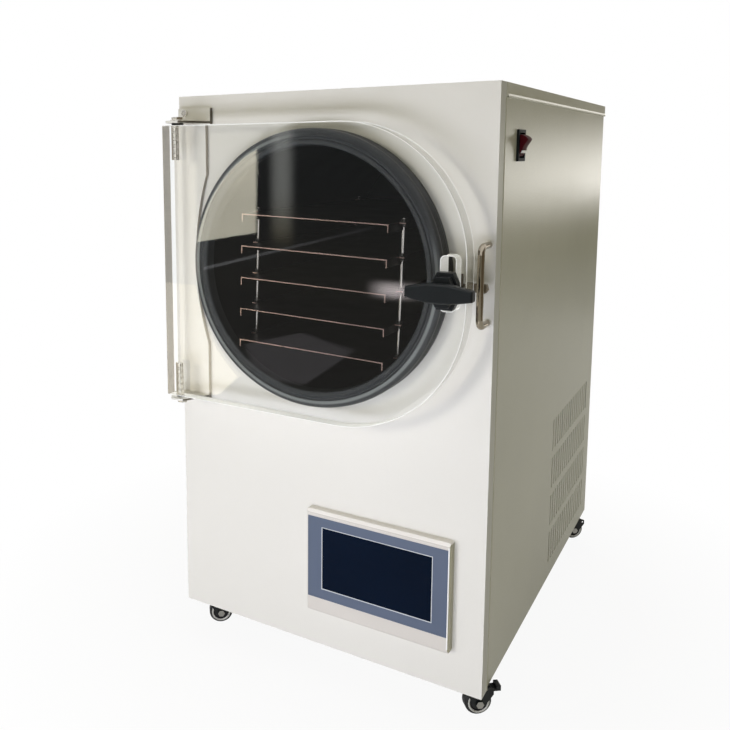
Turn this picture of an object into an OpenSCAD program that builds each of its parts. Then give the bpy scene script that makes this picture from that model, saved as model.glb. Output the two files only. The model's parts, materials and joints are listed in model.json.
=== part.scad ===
// Tabletop-height freeze dryer on casters: a painted sheet-metal cabinet round a horizontal
// stainless vacuum chamber, with a clear acrylic door, a shelf rack, a touch panel and the
// refrigeration plant below. X runs to the right, Y to the back, Z up, floor at Z = 0.

/* [Cabinet] */
// Width of the cabinet
body_w = 450; // [440:1:470]
// Depth of the cabinet
body_d = 635; // [620:1:670]
// Height of the cabinet without its casters
body_h = 745; // [740:1:775]
// Thickness of the sheet metal
sheet_t = 1.5; // [1.2:0.1:1.8]
// Width of the side panels' front flanges
side_flange = 12; // [10:1:14]
// Width of the front panel's side returns
front_return = 22; // [20:1:25]
// Seam between the front panel and the panels behind it
seam_gap = 0.8; // [0.5:0.1:1.2]
// Height of the top cover's lip
lip_h = 16; // [12:1:20]
// Distance from the cover's front edge to the start of the hem along its lip
lip_relief = 5; // [3:1:10]
// Radius of the rolled hem along the lip
hem_r = 1.3; // [1:0.1:1.6]
// Side of the frame's square posts
post_w = 20; // [18:1:22]
// Wall of the frame's square posts
post_t = 1.5; // [1.2:0.1:2]

/* [Vents] */
// Slots in each row
vent_cols = 17; // [14:1:18]
// Rows of slots
vent_rows = 4; // [3:1:4]
// Width of one slot
vent_w = 5; // [3:0.5:6]
// Height of one slot
vent_h = 49; // [40:1:52]
// Distance between slots
vent_pitch = 15.4; // [15:0.1:16]
// Distance between rows
vent_step = 61; // [58:1:62]
// Height of the lowest row above the cabinet's bottom
vent_z = 26; // [22:1:30]
// Distance from the last slot to the back of the cabinet
vent_back = 45; // [40:1:50]

/* [Chamber] */
// Distance from the top of the cabinet down to the chamber's axis
chamber_drop = 224; // [222:1:229]
// Distance from the cabinet's side to the chamber's bore
side_margin = 65; // [64:0.5:67]
// Wall of the chamber
chamber_wall = 3; // [2:0.5:4]
// Depth of the chamber behind the front panel
chamber_len = 465; // [455:1:480]
// Thickness of the chamber's closed back
back_t = 6; // [5:0.5:8]
// How far the chamber's rim stands out of the front panel
rim_out = 18; // [16:0.5:20]
// Width of the flange that seats the chamber behind the front panel
flange_w = 18; // [14:1:20]
// Thickness of that flange
flange_t = 6; // [4:0.5:8]
// Thickness of the foam jacket
jacket_t = 18; // [14:0.5:20]
// Radius of the copper cold coil's tube
coil_tube_r = 4; // [3:0.25:4.5]
// Turns of the cold coil
coil_turns = 9; // [6:1:10]
// Distance between turns
coil_pitch = 38; // [34:1:40]
// Distance from the front panel to the front cradle
saddle_front = 40; // [34:1:50]
// Distance from the rear cradle to the chamber's back
saddle_back = 16; // [12:1:30]
// Thickness of the cradles' plate
saddle_t = 8; // [6:1:10]
// Half the width of the cradles as a share of the chamber's outer radius
saddle_share = 0.67; // [0.55:0.01:0.75]
// Clearance between the chamber and what surrounds it
chamber_gap = 0.3; // [0.2:0.1:0.5]

/* [Door gasket] */
// Width of the gasket outside the chamber's bore
gasket_over = 16; // [13:1:18]
// Width of the gasket inside the chamber's bore
gasket_lap = 5; // [4:0.5:7]
// How far the gasket's face stands out of the front panel
gasket_face = 26; // [25:0.5:28]
// Height of the ridges on the gasket
ridge_h = 1.6; // [1:0.2:2]

/* [Door] */
// Thickness of the acrylic door
door_t = 26; // [22:1:28]
// Distance from the cabinet's left side to the door's left edge
door_left = 11; // [9:0.5:13]
// Distance from the door's right edge to the cabinet's right side
door_in = 16; // [15:1:20]
// Height of the door above the gasket
door_over = 7; // [4:1:10]
// Height of the door below the gasket
door_under = 12; // [8:1:14]
// How much smaller the radius of the door's two large corners is than the gasket's
corner_less = 14; // [8:1:24]
// Gap between the door and the gasket
door_gap = 0.3; // [0.2:0.1:0.5]
// Width of the latch slot through the door
slot_w = 17; // [15:1:19]
// Height of the latch slot
slot_h = 62; // [58:1:66]
// Radius of the slot's corners
slot_r = 5; // [3:0.5:7]
// Distance from the door's right edge to the slot's centre line
slot_in = 21.5; // [20:0.5:23]

/* [Hinge] */
// Thickness of the hinge plate
plate_t = 6; // [4:0.5:7]
// Distance from the cabinet's left side to the hinge plate
plate_left = 3; // [2:0.5:6]
// Width of the hinge plate at its ends
plate_w = 54; // [52:1:57]
// Width of the hinge plate at its waist
waist_w = 35; // [32:0.5:37]
// Half the height of the curved cut in the plate
cut_half = 117; // [105:1:125]
// Height of the plate above the upper tab
plate_over = 18; // [14:1:24]
// Height of the plate below the lower tab
plate_under = 12.5; // [12.5:0.5:18]
// Distance from an end of the plate to its screw
screw_in = 6.3; // [6:0.1:7]
// Thickness of the hinge tabs
tab_t = 3; // [2.5:0.5:4]
// Radius of the tab round the hinge pin
tab_r = 16; // [15:0.5:17]
// Distance from the door's left edge to the hinge pin
pin_in = 16.5; // [16:0.5:18]
// Radius of the hinge pins
pin_r = 6; // [5.5:0.25:6.25]
// Depth of the pins in the door
pin_depth = 46; // [38:1:50]
// Running clearance round the hinge pins
pin_gap = 0.05; // [0.02:0.01:0.09]
// Height of the black bush between tab and door
bush_h = 3; // [2:0.5:4]
// Radius of the bush
bush_r = 8; // [7.5:0.25:9]
// Thickness of the washers
washer_t = 1.5; // [1:0.1:1.8]
// Radius of the upper washer
washer_r = 10; // [9.5:0.25:11]
// Radius of the lower washer
foot_r = 7.5; // [7:0.25:8.5]
// Width across the flats of the upper pin's head
pin_head_w = 15; // [13:0.5:17]
// Width across the flats of the lower pin's head
pin_foot_w = 13; // [12.5:0.5:14]
// Height of the pin heads
pin_head_h = 3.5; // [3:0.5:5]
// Radius of the screws that hold the hinge plate
screw_r = 3; // [2.5:0.25:3.5]
// Radius of those screws' heads
screw_head_r = 4.6; // [4.4:0.1:5]

/* [Latch] */
// Height of the latch shaft below the centre of its slot
latch_drop = 7; // [2:0.5:9]
// Radius of the latch shaft
shaft_r = 5; // [4:0.25:6]
// Running clearance round the latch shaft
shaft_gap = 0.05; // [0.02:0.01:0.09]
// Width of the latch housing
housing_w = 29; // [26:0.5:32]
// Height of the latch housing
housing_h = 42; // [38:1:46]
// Thickness of the latch housing
housing_t = 20; // [17:0.5:23]
// Length of the wing handle
wing_l = 77; // [70:1:84]
// Width of the wing handle at its middle
wing_w = 22; // [18:0.5:25]
// Width of the wing handle at its tips
wing_tip = 12; // [10:0.5:14]
// Thickness of the wing handle
wing_t = 11.5; // [9:0.5:13]
// Gap between the wing handle and its housing
wing_gap = 2; // [1:0.5:3]
// Width of the latch tongue
tongue_w = 10; // [8:0.5:12]
// Thickness of the latch tongue
tongue_t = 4.5; // [3.5:0.5:5.5]
// Reach of the latch tongue from the shaft's axis
tongue_l = 37; // [35:0.5:38.5]
// Thickness of the clamp washer behind the door
clamp_t = 2.5; // [2:0.25:3]
// Height of the nut that holds the tongue
nut_h = 6; // [5:0.5:7]
// Width across that nut's flats
nut_w = 13; // [13:0.5:16]

/* [Keeper rod] */
// Radius of the keeper's round bar
rod_r = 4; // [3:0.25:4.5]
// Distance between the keeper's two legs
rod_span = 91; // [84:1:96]
// How far the back of the bar lies behind the door's back face
rod_behind = 0.1; // [0:0.05:0.3]
// Distance from the cabinet's right side to the bar's centre
rod_in = 7.6; // [6:0.2:8]
// Gap between the keeper and the latch tongue's nose
keeper_gap = 0.3; // [0.2:0.1:0.6]
// Radius of the bends, to the bar's centre line
rod_bend = 9; // [7:0.5:12]
// Height of the chamber's axis above the middle of the keeper
rod_drop = 5; // [0:0.5:8]

/* [Shelf rack] */
// Number of shelves
shelf_n = 5; // [3:1:5]
// Half width of a shelf as a share of the chamber's inner radius
shelf_share = 0.647; // [0.62:0.001:0.66]
// Depth of a shelf
shelf_d = 400; // [360:5:410]
// Thickness of a shelf's sheet
shelf_t = 1.6; // [1.2:0.1:2]
// Height of a shelf's side flanges
shelf_flange = 10.5; // [9:0.5:11]
// Distance between shelves as a share of the chamber's inner radius
shelf_step = 0.2625; // [0.245:0.0005:0.268]
// Height of the top shelf above the chamber's axis as a share of that radius
shelf_rise = 0.403; // [0.394:0.001:0.42]
// Distance from the door's back face to the shelves' front edges
shelf_set = 7; // [6:0.5:12]
// Distance from a shelf's front edge to its front right rod
rod_set = 38; // [32:1:44]
// How much further back the front left rod stands
rod_stagger = 10; // [0:1:14]
// How far the rods reach above the top shelf
rod_tip = 5; // [4.5:0.5:8]
// Radius of the rack's upright rods
upright_r = 2.5; // [2:0.25:3]
// Wall of the nuts round the rods
clip_wall = 1.4; // [1:0.1:1.8]
// Gap between those nuts and a shelf's flange
clip_gap = 0.1; // [0.1:0.05:0.4]
// Roll of the rack as it rests in the round chamber, in degrees
rack_roll = 1.7; // [0:0.1:2.5]
// Height of the nuts that hold the shelves on the rods
clip_h = 4; // [3:0.5:4.5]
// Width of the two runners the rack rests on
rail_w = 6; // [5:0.5:7]
// Distance from the shelves' front edge to the runners' front end
rail_set = 20; // [10:1:30]
// Distance from the shelves' back edge to the runners' back end
rail_end = 4; // [0:1:20]
// Thickness of the heater mats under the shelves
mat_t = 1.2; // [1:0.1:2]

/* [Touch panel] */
// Width of the touch panel
hmi_w = 200; // [194:1:206]
// Height of the touch panel
hmi_h = 144; // [138:1:150]
// How far the touch panel stands out
hmi_out = 12; // [9:0.5:14]
// Distance from the cabinet's right side to the touch panel
hmi_in = 39; // [34:1:44]
// Height of the touch panel above the cabinet's bottom
hmi_z = 53; // [48:1:58]
// Chamfer round the touch panel
hmi_cham = 4; // [3:0.5:6]
// Height of the plain band below the grey field
hmi_band = 21; // [18:0.5:24]
// Height of the plain band above the grey field
hmi_brow = 9; // [7:0.5:11]
// Width of the screen
screen_w = 154; // [150:1:158]
// Height of the screen
screen_h = 87; // [84:1:90]
// Height of the screen above the grey field's lower edge
screen_up = 14; // [12:0.5:16]
// Depth of the touch panel's case behind the front panel
case_d = 38; // [30:1:44]

/* [Switch] */
// Distance from the cabinet's front to the switch
switch_y = 75; // [70:1:80]
// Height of the switch's centre below the cabinet's top
switch_down = 71; // [66:1:76]
// Width of the switch bezel
switch_w = 30; // [28:0.5:32]
// Height of the switch bezel
switch_h = 38; // [36:0.5:40]
// Thickness of the switch bezel
switch_t = 3; // [2.5:0.25:4]
// Width of the rocker
rocker_w = 21; // [20:0.5:22]
// Half the height of the rocker
rocker_half = 13.5; // [12.5:0.25:14]
// How far the rocker's high end stands out of the bezel
rocker_out = 11; // [8:0.5:12]

/* [Casters] */
// Height of a caster
caster_h = 46; // [46:1:52]
// Radius of a wheel
wheel_r = 17.5; // [17:0.25:17.75]
// Width of a wheel
wheel_w = 16; // [14:0.5:18]
// Offset of the wheel's axle from the swivel
trail = 9; // [8:0.5:10]
// Inset of the front swivels from the cabinet's sides
caster_x = 25; // [24:0.5:28]
// Inset of the swivels from the cabinet's front and back
caster_y = 34; // [32:1:40]
// Direction in which the wheels trail, in degrees from the X axis
caster_turn = 38; // [20:1:60]
// Side of the caster plates
caster_plate = 38; // [34:1:42]
// Thickness of the caster plates
caster_plate_t = 2; // [1.6:0.2:2.2]
// Radius of the swivel's cup
cup_r = 12; // [11:0.5:12.5]
// Radius of the axle
axle_r = 3; // [2.5:0.25:3.5]
// Running clearance round the axle and the kingpin
axle_gap = 0.08; // [0.04:0.01:0.09]

/* [Power inlet] */
// Distance from the cabinet's left side to the inlet's middle
inlet_x = 58; // [52:1:80]
// Height of the inlet's middle
inlet_z = 74; // [68:1:90]
// Width of the inlet's flange
inlet_w = 40; // [36:1:44]
// Height of the inlet's flange
inlet_h = 48; // [44:1:52]
// Thickness of the inlet's flange
inlet_t = 3; // [2:0.5:4]
// Width of the inlet's body
socket_w = 28; // [26:0.5:30]
// Height of the inlet's body
socket_h = 24; // [22:0.5:28]
// Depth of the body behind the rear panel
inlet_body = 24; // [22:1:30]
// Depth of the opening a plug goes into
socket_deep = 14; // [12:1:17]

/* [Electronics] */
// Width of the control box
box_w = 156; // [140:1:170]
// Depth of the control box
box_d = 74; // [60:1:90]
// Height of the control box
box_h = 160; // [140:1:180]

/* [Back and plant] */
// Radius of the vacuum tube
tube_r = 14; // [13:0.5:16]
// Bore of the vacuum tube
tube_bore = 12.5; // [11.5:0.25:12.7]
// Radius of the vacuum port's flange
port_r = 20; // [19:0.5:22]
// Thickness of the vacuum port's flange
port_t = 6; // [5:0.5:8]
// How far the vacuum port stands out of the back
port_out = 32; // [26:1:40]
// Radius of the drain tube
drain_r = 6; // [5:0.5:7]
// How far the drain spout stands out of the back
drain_out = 26; // [20:1:30]
// Radius of the compressor
comp_r = 72; // [66:1:76]
// Height of the compressor
comp_h = 178; // [160:1:190]
// Distance from the cabinet's left side to the compressor's axis
comp_x = 118; // [112:1:126]
// Distance from the cabinet's front to the compressor's axis
comp_y = 420; // [400:5:440]
// Radius of the refrigerant lines
line_r = 4; // [3:0.5:5]
// Height of the compressor's rubber feet
foot_h = 12; // [10:1:15]
// Thickness of the condenser core
cond_t = 40; // [34:1:44]
// Width of the condenser core
cond_w = 244; // [230:1:250]
// Height of the condenser core
cond_h = 232; // [220:1:240]
// Distance from the condenser to the side panel
cond_gap = 11; // [8:0.5:14]
// Radius of the condenser fan
fan_r = 96; // [88:1:100]
// Depth of the fan's shroud
shroud_d = 30; // [26:1:36]
// Blades of the fan
fan_n = 5; // [3:1:7]
// Radius of the fan's hub
hub_r = 24; // [20:1:28]
// Length of the fan's hub
hub_l = 20; // [18:1:24]
// Distance from the chamber's bore up to the drain's axis
drain_up = 22; // [18:1:30]

/* [Hidden] */
$fn = 72;
// Places worked out from the sizes above
side_x = body_w - sheet_t;                 // outer face of the side panels
in_x = body_w - 2 * sheet_t;               // inner face of the side panels
back_y = body_d - sheet_t;                 // outer face of the rear panel
back_in = body_d - 2 * sheet_t;            // inner face of the rear panel
seam_y = front_return + seam_gap;          // front edge of the side panels
top_in = body_h - sheet_t;                 // underside of the top cover
cx = body_w / 2;                           // chamber's axis in X
cz = body_h - chamber_drop;                // its height
chamber_r = cx - side_margin;              // its inner radius
drum_r = chamber_r + chamber_wall;
gasket_r = chamber_r + gasket_over;
gasket_in = chamber_r - gasket_lap;
door_back = -gasket_face - door_gap;
door_front = door_back - door_t;
door_right = body_w - door_in;
door_w = door_right - door_left;
door_r = gasket_r - corner_less;
door_z1 = cz + gasket_r + door_over;
door_z0 = cz - gasket_r - door_under;
pin_x = door_left + pin_in;
pin_y = door_back - door_t / 2;
socket_x = about(inlet_x, socket_w / 2);
socket_z = about(inlet_z, socket_h / 2);
tab_z1 = door_z1 + bush_h;                 // underside of the upper tab
tab_z0 = door_z0 - bush_h;                 // upper side of the lower tab
plate_z1 = tab_z1 + tab_t + plate_over;
plate_z0 = tab_z0 - tab_t - plate_under;
screw_x = plate_left + 12;
screw_zs = [plate_z0 + screw_in, plate_z1 - screw_in];
slot_x = door_right - slot_in;
latch_z = cz - latch_drop;
housing_y = door_front - housing_t;
wing_y = housing_y - wing_gap;             // back of the wing handle
wing_front = wing_y - wing_t;
tongue_y = door_back + clamp_t + 0.3;      // front face of the tongue
rod_out = rod_r - door_back - rod_behind;  // centre of the keeper's bar
nose_h = tongue_y - keeper_gap + rod_out - rod_r;   // up to the back of the keeper
rod_x = body_w - rod_in;
rod_z = cz - rod_drop;
shelf_y = door_back + shelf_set;
shelf_w = 2 * shelf_share * chamber_r;
shelf_pitch = shelf_step * chamber_r;
shelf_top = shelf_rise * chamber_r;
upright_off = upright_r + clip_wall + clip_gap;
hmi_x = body_w - hmi_in - hmi_w;
field_z = hmi_z + hmi_band;
field_z1 = hmi_z + hmi_h - hmi_brow;
screen_z = field_z + screen_up;
screen_x = hmi_x + (hmi_w - screen_w) / 2;
switch_z = body_h - switch_down;
switch_cy = switch_y + switch_w / 2;
switch_x = side_x + switch_t;              // face of the switch bezel
rocker_px = side_x - 3;                    // rocker's pivot
axle_z = wheel_r - caster_h;
// Underside of the kingpin's head, just clear of the wheel
king_z = axle_z + sqrt(wheel_r * wheel_r - pow(trail - axle_r - 2, 2)) + 0.36;
turn_u = [cos(caster_turn), sin(caster_turn)];
turn_n = [sin(caster_turn), -cos(caster_turn)];
pivot_u = 24.5;
pivot_z = -13.5;
pedal_u = 38.5;
pedal_w = 13;
corner_x = [caster_x, body_w - caster_x];
corner_y = [caster_y, body_d - caster_y];
jacket_in = drum_r + 2 * coil_tube_r + 2 * chamber_gap;
jacket_r = jacket_in + jacket_t;
deck_z = cz - jacket_r - chamber_gap;      // top of the deck under the chamber
vent_y1 = body_d - vent_back;
box_x = 2 * sheet_t + post_w + 3;
box_y = seam_y + 12;
cond_x1 = in_x - cond_gap;
cond_cy = vent_y1 - vent_pitch * (vent_cols - 1) / 2;
cond_z0 = 30;
fan_z = cond_z0 + cond_h / 2;
shroud_x = cond_x1 - cond_t - shroud_d;
port_z = cz;
drain_z = cz - chamber_r + drain_up;
// The part stands with the middle of its whole box over the origin
max_x = max(switch_x + rocker_out,
    body_w - caster_x + turn_u[0] * pedal_u + turn_n[0] * pedal_w / 2);
mid = [(max_x + sheet_t - 2 * hem_r) / 2, (wing_front + back_y + port_out) / 2];

// ---- small helpers -------------------------------------------------------------------------
// Everything is drawn from the cabinet's front lower left corner, then moved over the origin
module place() { translate([-mid[0], -mid[1], caster_h]) children(); }
module bx(x, y, z) {
    translate([x[0], y[0], z[0]]) cube([x[1] - x[0], y[1] - y[0], z[1] - z[0]]);
}
// A cylinder along Y between two depths
module cyl_y(r, x, z, y) { translate([x, y[0], z]) rotate([-90, 0, 0]) cylinder(r = r, h = y[1] - y[0]); }
module cyl_x(r, y, z, x) { translate([x[0], y, z]) rotate([0, 90, 0]) cylinder(r = r, h = x[1] - x[0]); }
// A profile drawn in X and Z, extruded between two depths
module slab(y) { translate([0, y[1], 0]) rotate([90, 0, 0]) linear_extrude(y[1] - y[0]) children(); }
// A profile drawn in Y and Z, extruded along X
module rail(x) { translate([x[0], 0, 0]) rotate([90, 0, 90]) linear_extrude(x[1] - x[0]) children(); }
// A profile of radius and depth turned about the chamber's axis
module turned() { translate([cx, 0, cz]) rotate([-90, 0, 0]) rotate_extrude() children(); }
// A hexagon by its width across the flats
module hexagon(w, h) { cylinder(d = w / cos(30), h = h, $fn = 6); }
// A span of half a width each way about c, and a span from c to c + h
function about(c, h) = [c - h, c + h];
function upto(c, h) = [min(c, c + h), max(c, c + h)];
function arc(c, r, a0, a1, n) =
    [for (i = [0:n]) c + r * [cos(a0 + (a1 - a0) * i / n), sin(a0 + (a1 - a0) * i / n)]];

// ---- cabinet -------------------------------------------------------------------------------
module front_panel() color("gainsboro") place() difference() {
    union() {
        bx([0, body_w], [0, sheet_t], [0, body_h]);
        for (x = [[0, sheet_t], [body_w - sheet_t, body_w]])
            bx(x, [0, front_return], [0, body_h]);
        bx([0, body_w], [0, front_return], [body_h - sheet_t, body_h]);
    }
    cyl_y(drum_r + chamber_gap, cx, cz, [-1, sheet_t + 1]);
    // Cut-out for the touch panel's case
    bx([hmi_x + 4, hmi_x + hmi_w - 4], [-1, sheet_t + 1], [hmi_z + 3, hmi_z + hmi_h - 3]);
    for (z = screw_zs) cyl_y(screw_r, screw_x, z, [-1, sheet_t + 1]);
}

// Slots of one side, cut right through
module vent_slots(x) {
    for (i = [0:vent_cols - 1], j = [0:vent_rows - 1])
        bx(x, about(vent_y1 - i * vent_pitch, vent_w / 2),
            upto(vent_z + j * vent_step, vent_h));
}
module side_sheet(x, flange_x) {
    bx(x, [seam_y, back_in], [0, top_in]);
    bx(flange_x, [seam_y, seam_y + sheet_t], [sheet_t, top_in]);
}
module left_panel() color("gainsboro") place() difference() {
    side_sheet([sheet_t, 2 * sheet_t], [sheet_t, 2 * sheet_t + side_flange]);
    vent_slots([0, 3 * sheet_t]);
}
module right_panel() color("gainsboro") place() difference() {
    side_sheet([in_x, side_x], [in_x - side_flange, side_x]);
    vent_slots([in_x - 1, side_x + 1]);
    bx([in_x - 1, side_x + 1], about(switch_cy, (switch_w - 5) / 2),
        about(switch_z, (switch_h - 3) / 2));
}
module rear_panel() color("gainsboro") place() difference() {
    bx([sheet_t, side_x], [back_in, back_y], [0, top_in]);
    cyl_y(tube_r + chamber_gap, cx, port_z, [back_in - 1, back_y + 1]);
    cyl_y(drain_r + chamber_gap, cx, drain_z, [back_in - 1, back_y + 1]);
    for (i = [0:vent_cols - 5], j = [0:1])
        bx(about(cx + (i - (vent_cols - 5) / 2) * vent_pitch, vent_w / 2),
            [back_in - 1, back_y + 1], upto(vent_z + 70 + j * vent_step, vent_h));
    bx(socket_x, [back_in - 1, back_y + 1], socket_z);
}
module top_cover() color("gainsboro") place() {
    bx([0, body_w], [seam_y, body_d], [top_in, body_h]);
    for (x = [[0, sheet_t], [side_x, body_w]])
        bx(x, [seam_y, body_d], [body_h - lip_h, top_in + sheet_t / 2]);
    bx([0, body_w], [back_y, body_d], [body_h - lip_h, top_in + sheet_t / 2]);
    // Rolled hem along the two side lips
    for (x = [sheet_t - hem_r, body_w - sheet_t + hem_r])
        cyl_y(hem_r, x, body_h - lip_h, [seam_y + lip_relief, body_d]);
}
module base_pan() color("gainsboro") place() difference() {
    bx([2 * sheet_t, in_x], [sheet_t, back_in], [0, sheet_t]);
    for (x = corner_x, y = corner_y) translate([x, y, -1]) cylinder(r = axle_r + 1, h = sheet_t + 2);
}
// Welded frame of square tube: four posts, and rails under the deck and the top
module tube_z(x, y) difference() {
    bx(x, y, [sheet_t, top_in]);
    bx(x + [post_t, -post_t], y + [post_t, -post_t], [sheet_t - 1, top_in + 1]);
}
module tube_y(x, z) difference() {
    bx(x, [seam_y, back_in - post_w], z);
    bx(x + [post_t, -post_t], [seam_y + sheet_t - 3, back_in - post_w + 1], z + [post_t, -post_t]);
}
module frame() color("darkgray") place() {
    for (x = [[2 * sheet_t, 2 * sheet_t + post_w], [in_x - post_w, in_x]]) {
        difference() {
            tube_z(x, [sheet_t, seam_y]);
            for (z = screw_zs) cyl_y(screw_r, screw_x, z, [0, sheet_t + post_t + 1]);
        }
        tube_z(x, [back_in - post_w, back_in]);
        difference() {
            tube_y(x, upto(deck_z - sheet_t, -post_w));
            bx([0, body_w], [seam_y - 1, seam_y + sheet_t], [0, body_h]);
        }
    }
    for (y = [[sheet_t, seam_y], [back_in - post_w, back_in]])
        bx([2 * sheet_t + post_w, in_x - post_w], y, upto(deck_z - sheet_t, -post_w));
}
module deck() color("silver") place()
    bx([2 * sheet_t, in_x], [seam_y + sheet_t, back_in - post_w], [deck_z - sheet_t, deck_z]);

// ---- chamber -------------------------------------------------------------------------------
module vacuum_chamber() color("silver") place() difference() {
    turned() polygon([[chamber_r, -rim_out], [drum_r, -rim_out], [drum_r, sheet_t],
        [drum_r + flange_w, sheet_t], [drum_r + flange_w, sheet_t + flange_t],
        [drum_r, sheet_t + flange_t], [drum_r, chamber_len], [0, chamber_len],
        [0, chamber_len - back_t], [chamber_r, chamber_len - back_t]]);
    cyl_y(tube_bore, cx, port_z, [chamber_len - back_t - 1, chamber_len + 1]);
    cyl_y(drain_r - 1.5, cx, drain_z, [chamber_len - back_t - 1, chamber_len + 1]);
}
// Two cradles that carry the chamber on the deck, just outside the jacket
saddle_y = [upto(saddle_front, saddle_t), upto(chamber_len - saddle_back, -saddle_t)];
module saddles() color("silver") place() for (y = saddle_y)
    difference() {
        bx(about(cx, saddle_share * drum_r), y, [deck_z, cz - drum_r / 2]);
        cyl_y(drum_r + chamber_gap, cx, cz, [y[0] - 1, y[1] + 1]);
    }
coil_y0 = (saddle_y[0][1] + saddle_y[1][0] - coil_pitch * (coil_turns - 1)) / 2;
module cold_coil() color("peru") place() {
    for (i = [0:coil_turns - 1])
        turned() translate([drum_r + coil_tube_r + chamber_gap, coil_y0 + i * coil_pitch])
            circle(r = coil_tube_r);
    // Manifold block that joins the turns along the top
    bx(about(cx, coil_tube_r + 2), [coil_y0 - coil_tube_r - 2,
        coil_y0 + coil_pitch * (coil_turns - 1) + coil_tube_r + 2],
        upto(cz + drum_r + chamber_gap + 1, 2 * coil_tube_r - 1.2));
}
module jacket() color("dimgray") place() turned() polygon([
    [jacket_in, saddle_y[0][1] + 2], [jacket_r, saddle_y[0][1] + 2],
    [jacket_r, saddle_y[1][0] - 2], [jacket_in, saddle_y[1][0] - 2]]);
// Closed steel box for the electronics, with a stepped lid and a gland for the wires
module control_box() color("darkgray") place() {
    bx([box_x, box_x + box_w], [box_y, box_y + box_d], [sheet_t, sheet_t + box_h]);
    bx([box_x + 4, box_x + box_w - 4], [box_y + box_d, box_y + box_d + 2],
        [sheet_t + 4, sheet_t + box_h - 4]);
    translate([box_x + box_w - 24, box_y + box_d / 2, sheet_t + box_h]) {
        hexagon(17, 5);
        cylinder(r = 6, h = 12);
    }
}

// Silicone ring pressed over the chamber's rim: a flat sealing land, a rounded lip outside it
// and ridges down its flank, all computed from the ring's radii and its height
ridge_n = 3;
flank = (gasket_face - 12) / ridge_n;
gasket_pts = concat(
    [[gasket_in, -chamber_gap - rim_out + 9], [gasket_in, -gasket_face + 4]],
    arc([gasket_in + 4, -gasket_face + 4], 4, 180, 270, 4),
    // shallow groove between the inner bead and the sealing land
    arc([drum_r + 1, -gasket_face], 2.4, 180, 0, 6),
    [[gasket_r - 5, -gasket_face]],
    arc([gasket_r - 5, -gasket_face + 5], 5, 270, 360, 5),
    [for (i = [0:ridge_n - 1], j = [0:5]) [gasket_r - ridge_h * pow(sin(j * 180 / 5), 2),
        -gasket_face + 6 + flank * (i + j / 5.4)]],
    [[gasket_r, 0], [drum_r + chamber_gap, 0], [drum_r + chamber_gap, -rim_out - chamber_gap],
     [chamber_r - chamber_gap, -rim_out - chamber_gap],
     [chamber_r - chamber_gap, -chamber_gap - rim_out + 9]]);
module door_gasket() color("black") place() turned() polygon(gasket_pts);

// ---- hinge and keeper ----------------------------------------------------------------------
// Centre and radius of the curved cut, through the waist and the cut's two ends
cut_d = plate_w - waist_w;
cut_r = (cut_half * cut_half + cut_d * cut_d) / (2 * cut_d);
// Tangent point from a corner to the round end of a tab
function tangent(p, c, r) = let (v = p - c, d = norm(v), a = atan2(v[1], v[0]), b = acos(r / d))
    c + r * [cos(a - b), sin(a - b)];
module hinge_tab() {
    root = [plate_left + plate_w, -plate_t];
    c = [pin_x, pin_y];
    t = tangent(root, c, tab_r - 0.2);     // just inside the round, so the edge crosses it
    difference() {
        union() {
            polygon([[pin_x - tab_r, -plate_t], root, t, c, [pin_x - tab_r, pin_y]]);
            translate(c) circle(r = tab_r);
        }
        translate(c) circle(r = pin_r + pin_gap);
    }
}
module hinge_plate() color("gainsboro") place() {
    difference() {
        bx([plate_left, plate_left + plate_w], [-plate_t, 0], [plate_z0, plate_z1]);
        cyl_y(cut_r, plate_left + waist_w + cut_r, cz, [-plate_t - 1, 1]);
        for (z = screw_zs) cyl_y(screw_r, screw_x, z, [-plate_t - 1, 1]);
    }
    for (z = [tab_z1, tab_z0 - tab_t])
        translate([0, 0, z]) linear_extrude(tab_t) hinge_tab();
}
module hinge_screws() color("silver") place() for (z = screw_zs) {
    cyl_y(screw_head_r, screw_x, z, [-plate_t - 3.5, -plate_t]);
    cyl_y(screw_r, screw_x, z, [-plate_t - 1, sheet_t + 6]);
}
// One bent round bar, its two legs welded to the front panel
module bend(z, flip) translate([rod_x, -rod_out + rod_bend, z]) rotate([0, 0, 180])
    rotate([0, 90, 0]) rotate([0, 0, flip ? 90 : 0])
        rotate_extrude(angle = 90) translate([rod_bend, 0]) circle(r = rod_r);
module keeper_rod() color("silver") place() {
    for (s = [-1, 1])
        cyl_y(rod_r, rod_x, rod_z + s * rod_span / 2, [-rod_out + rod_bend, 0]);
    translate([rod_x, -rod_out, rod_z - rod_span / 2 + rod_bend])
        cylinder(r = rod_r, h = rod_span - 2 * rod_bend);
    bend(rod_z + rod_span / 2 - rod_bend, true);
    bend(rod_z - rod_span / 2 + rod_bend, false);
}

// ---- door ----------------------------------------------------------------------------------
module door_outline() {
    c1 = [door_right - door_r, door_z1 - door_r];
    c0 = [door_right - door_r, door_z0 + door_r];
    union() {
        difference() {
            translate([door_left, door_z0]) square([door_w, door_z1 - door_z0]);
            translate([c1[0], c1[1]]) square([door_r + 1, door_r + 1]);
            translate([c0[0], c0[1] - door_r - 1]) square([door_r + 1, door_r + 1]);
        }
        for (c = [c0, c1]) translate(c) circle(r = door_r);
    }
}
module slot_outline() {
    w = slot_w - 2 * slot_r;
    h = slot_h - 2 * slot_r;
    translate([slot_x, cz]) {
        square([slot_w, h], center = true);
        square([w, slot_h], center = true);
        for (x = [-w / 2, w / 2], z = [-h / 2, h / 2]) translate([x, z]) circle(r = slot_r);
    }
}
module door_panel() color("lightcyan", 0.4) place() difference() {
    slab([door_front, door_back]) difference() {
        door_outline();
        slot_outline();
    }
    for (z = [[door_z1 - pin_depth, door_z1 + 1], [door_z0 - 1, door_z0 + pin_depth]])
        translate([pin_x, pin_y, z[0]]) cylinder(r = pin_r, h = z[1] - z[0]);
}
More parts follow.
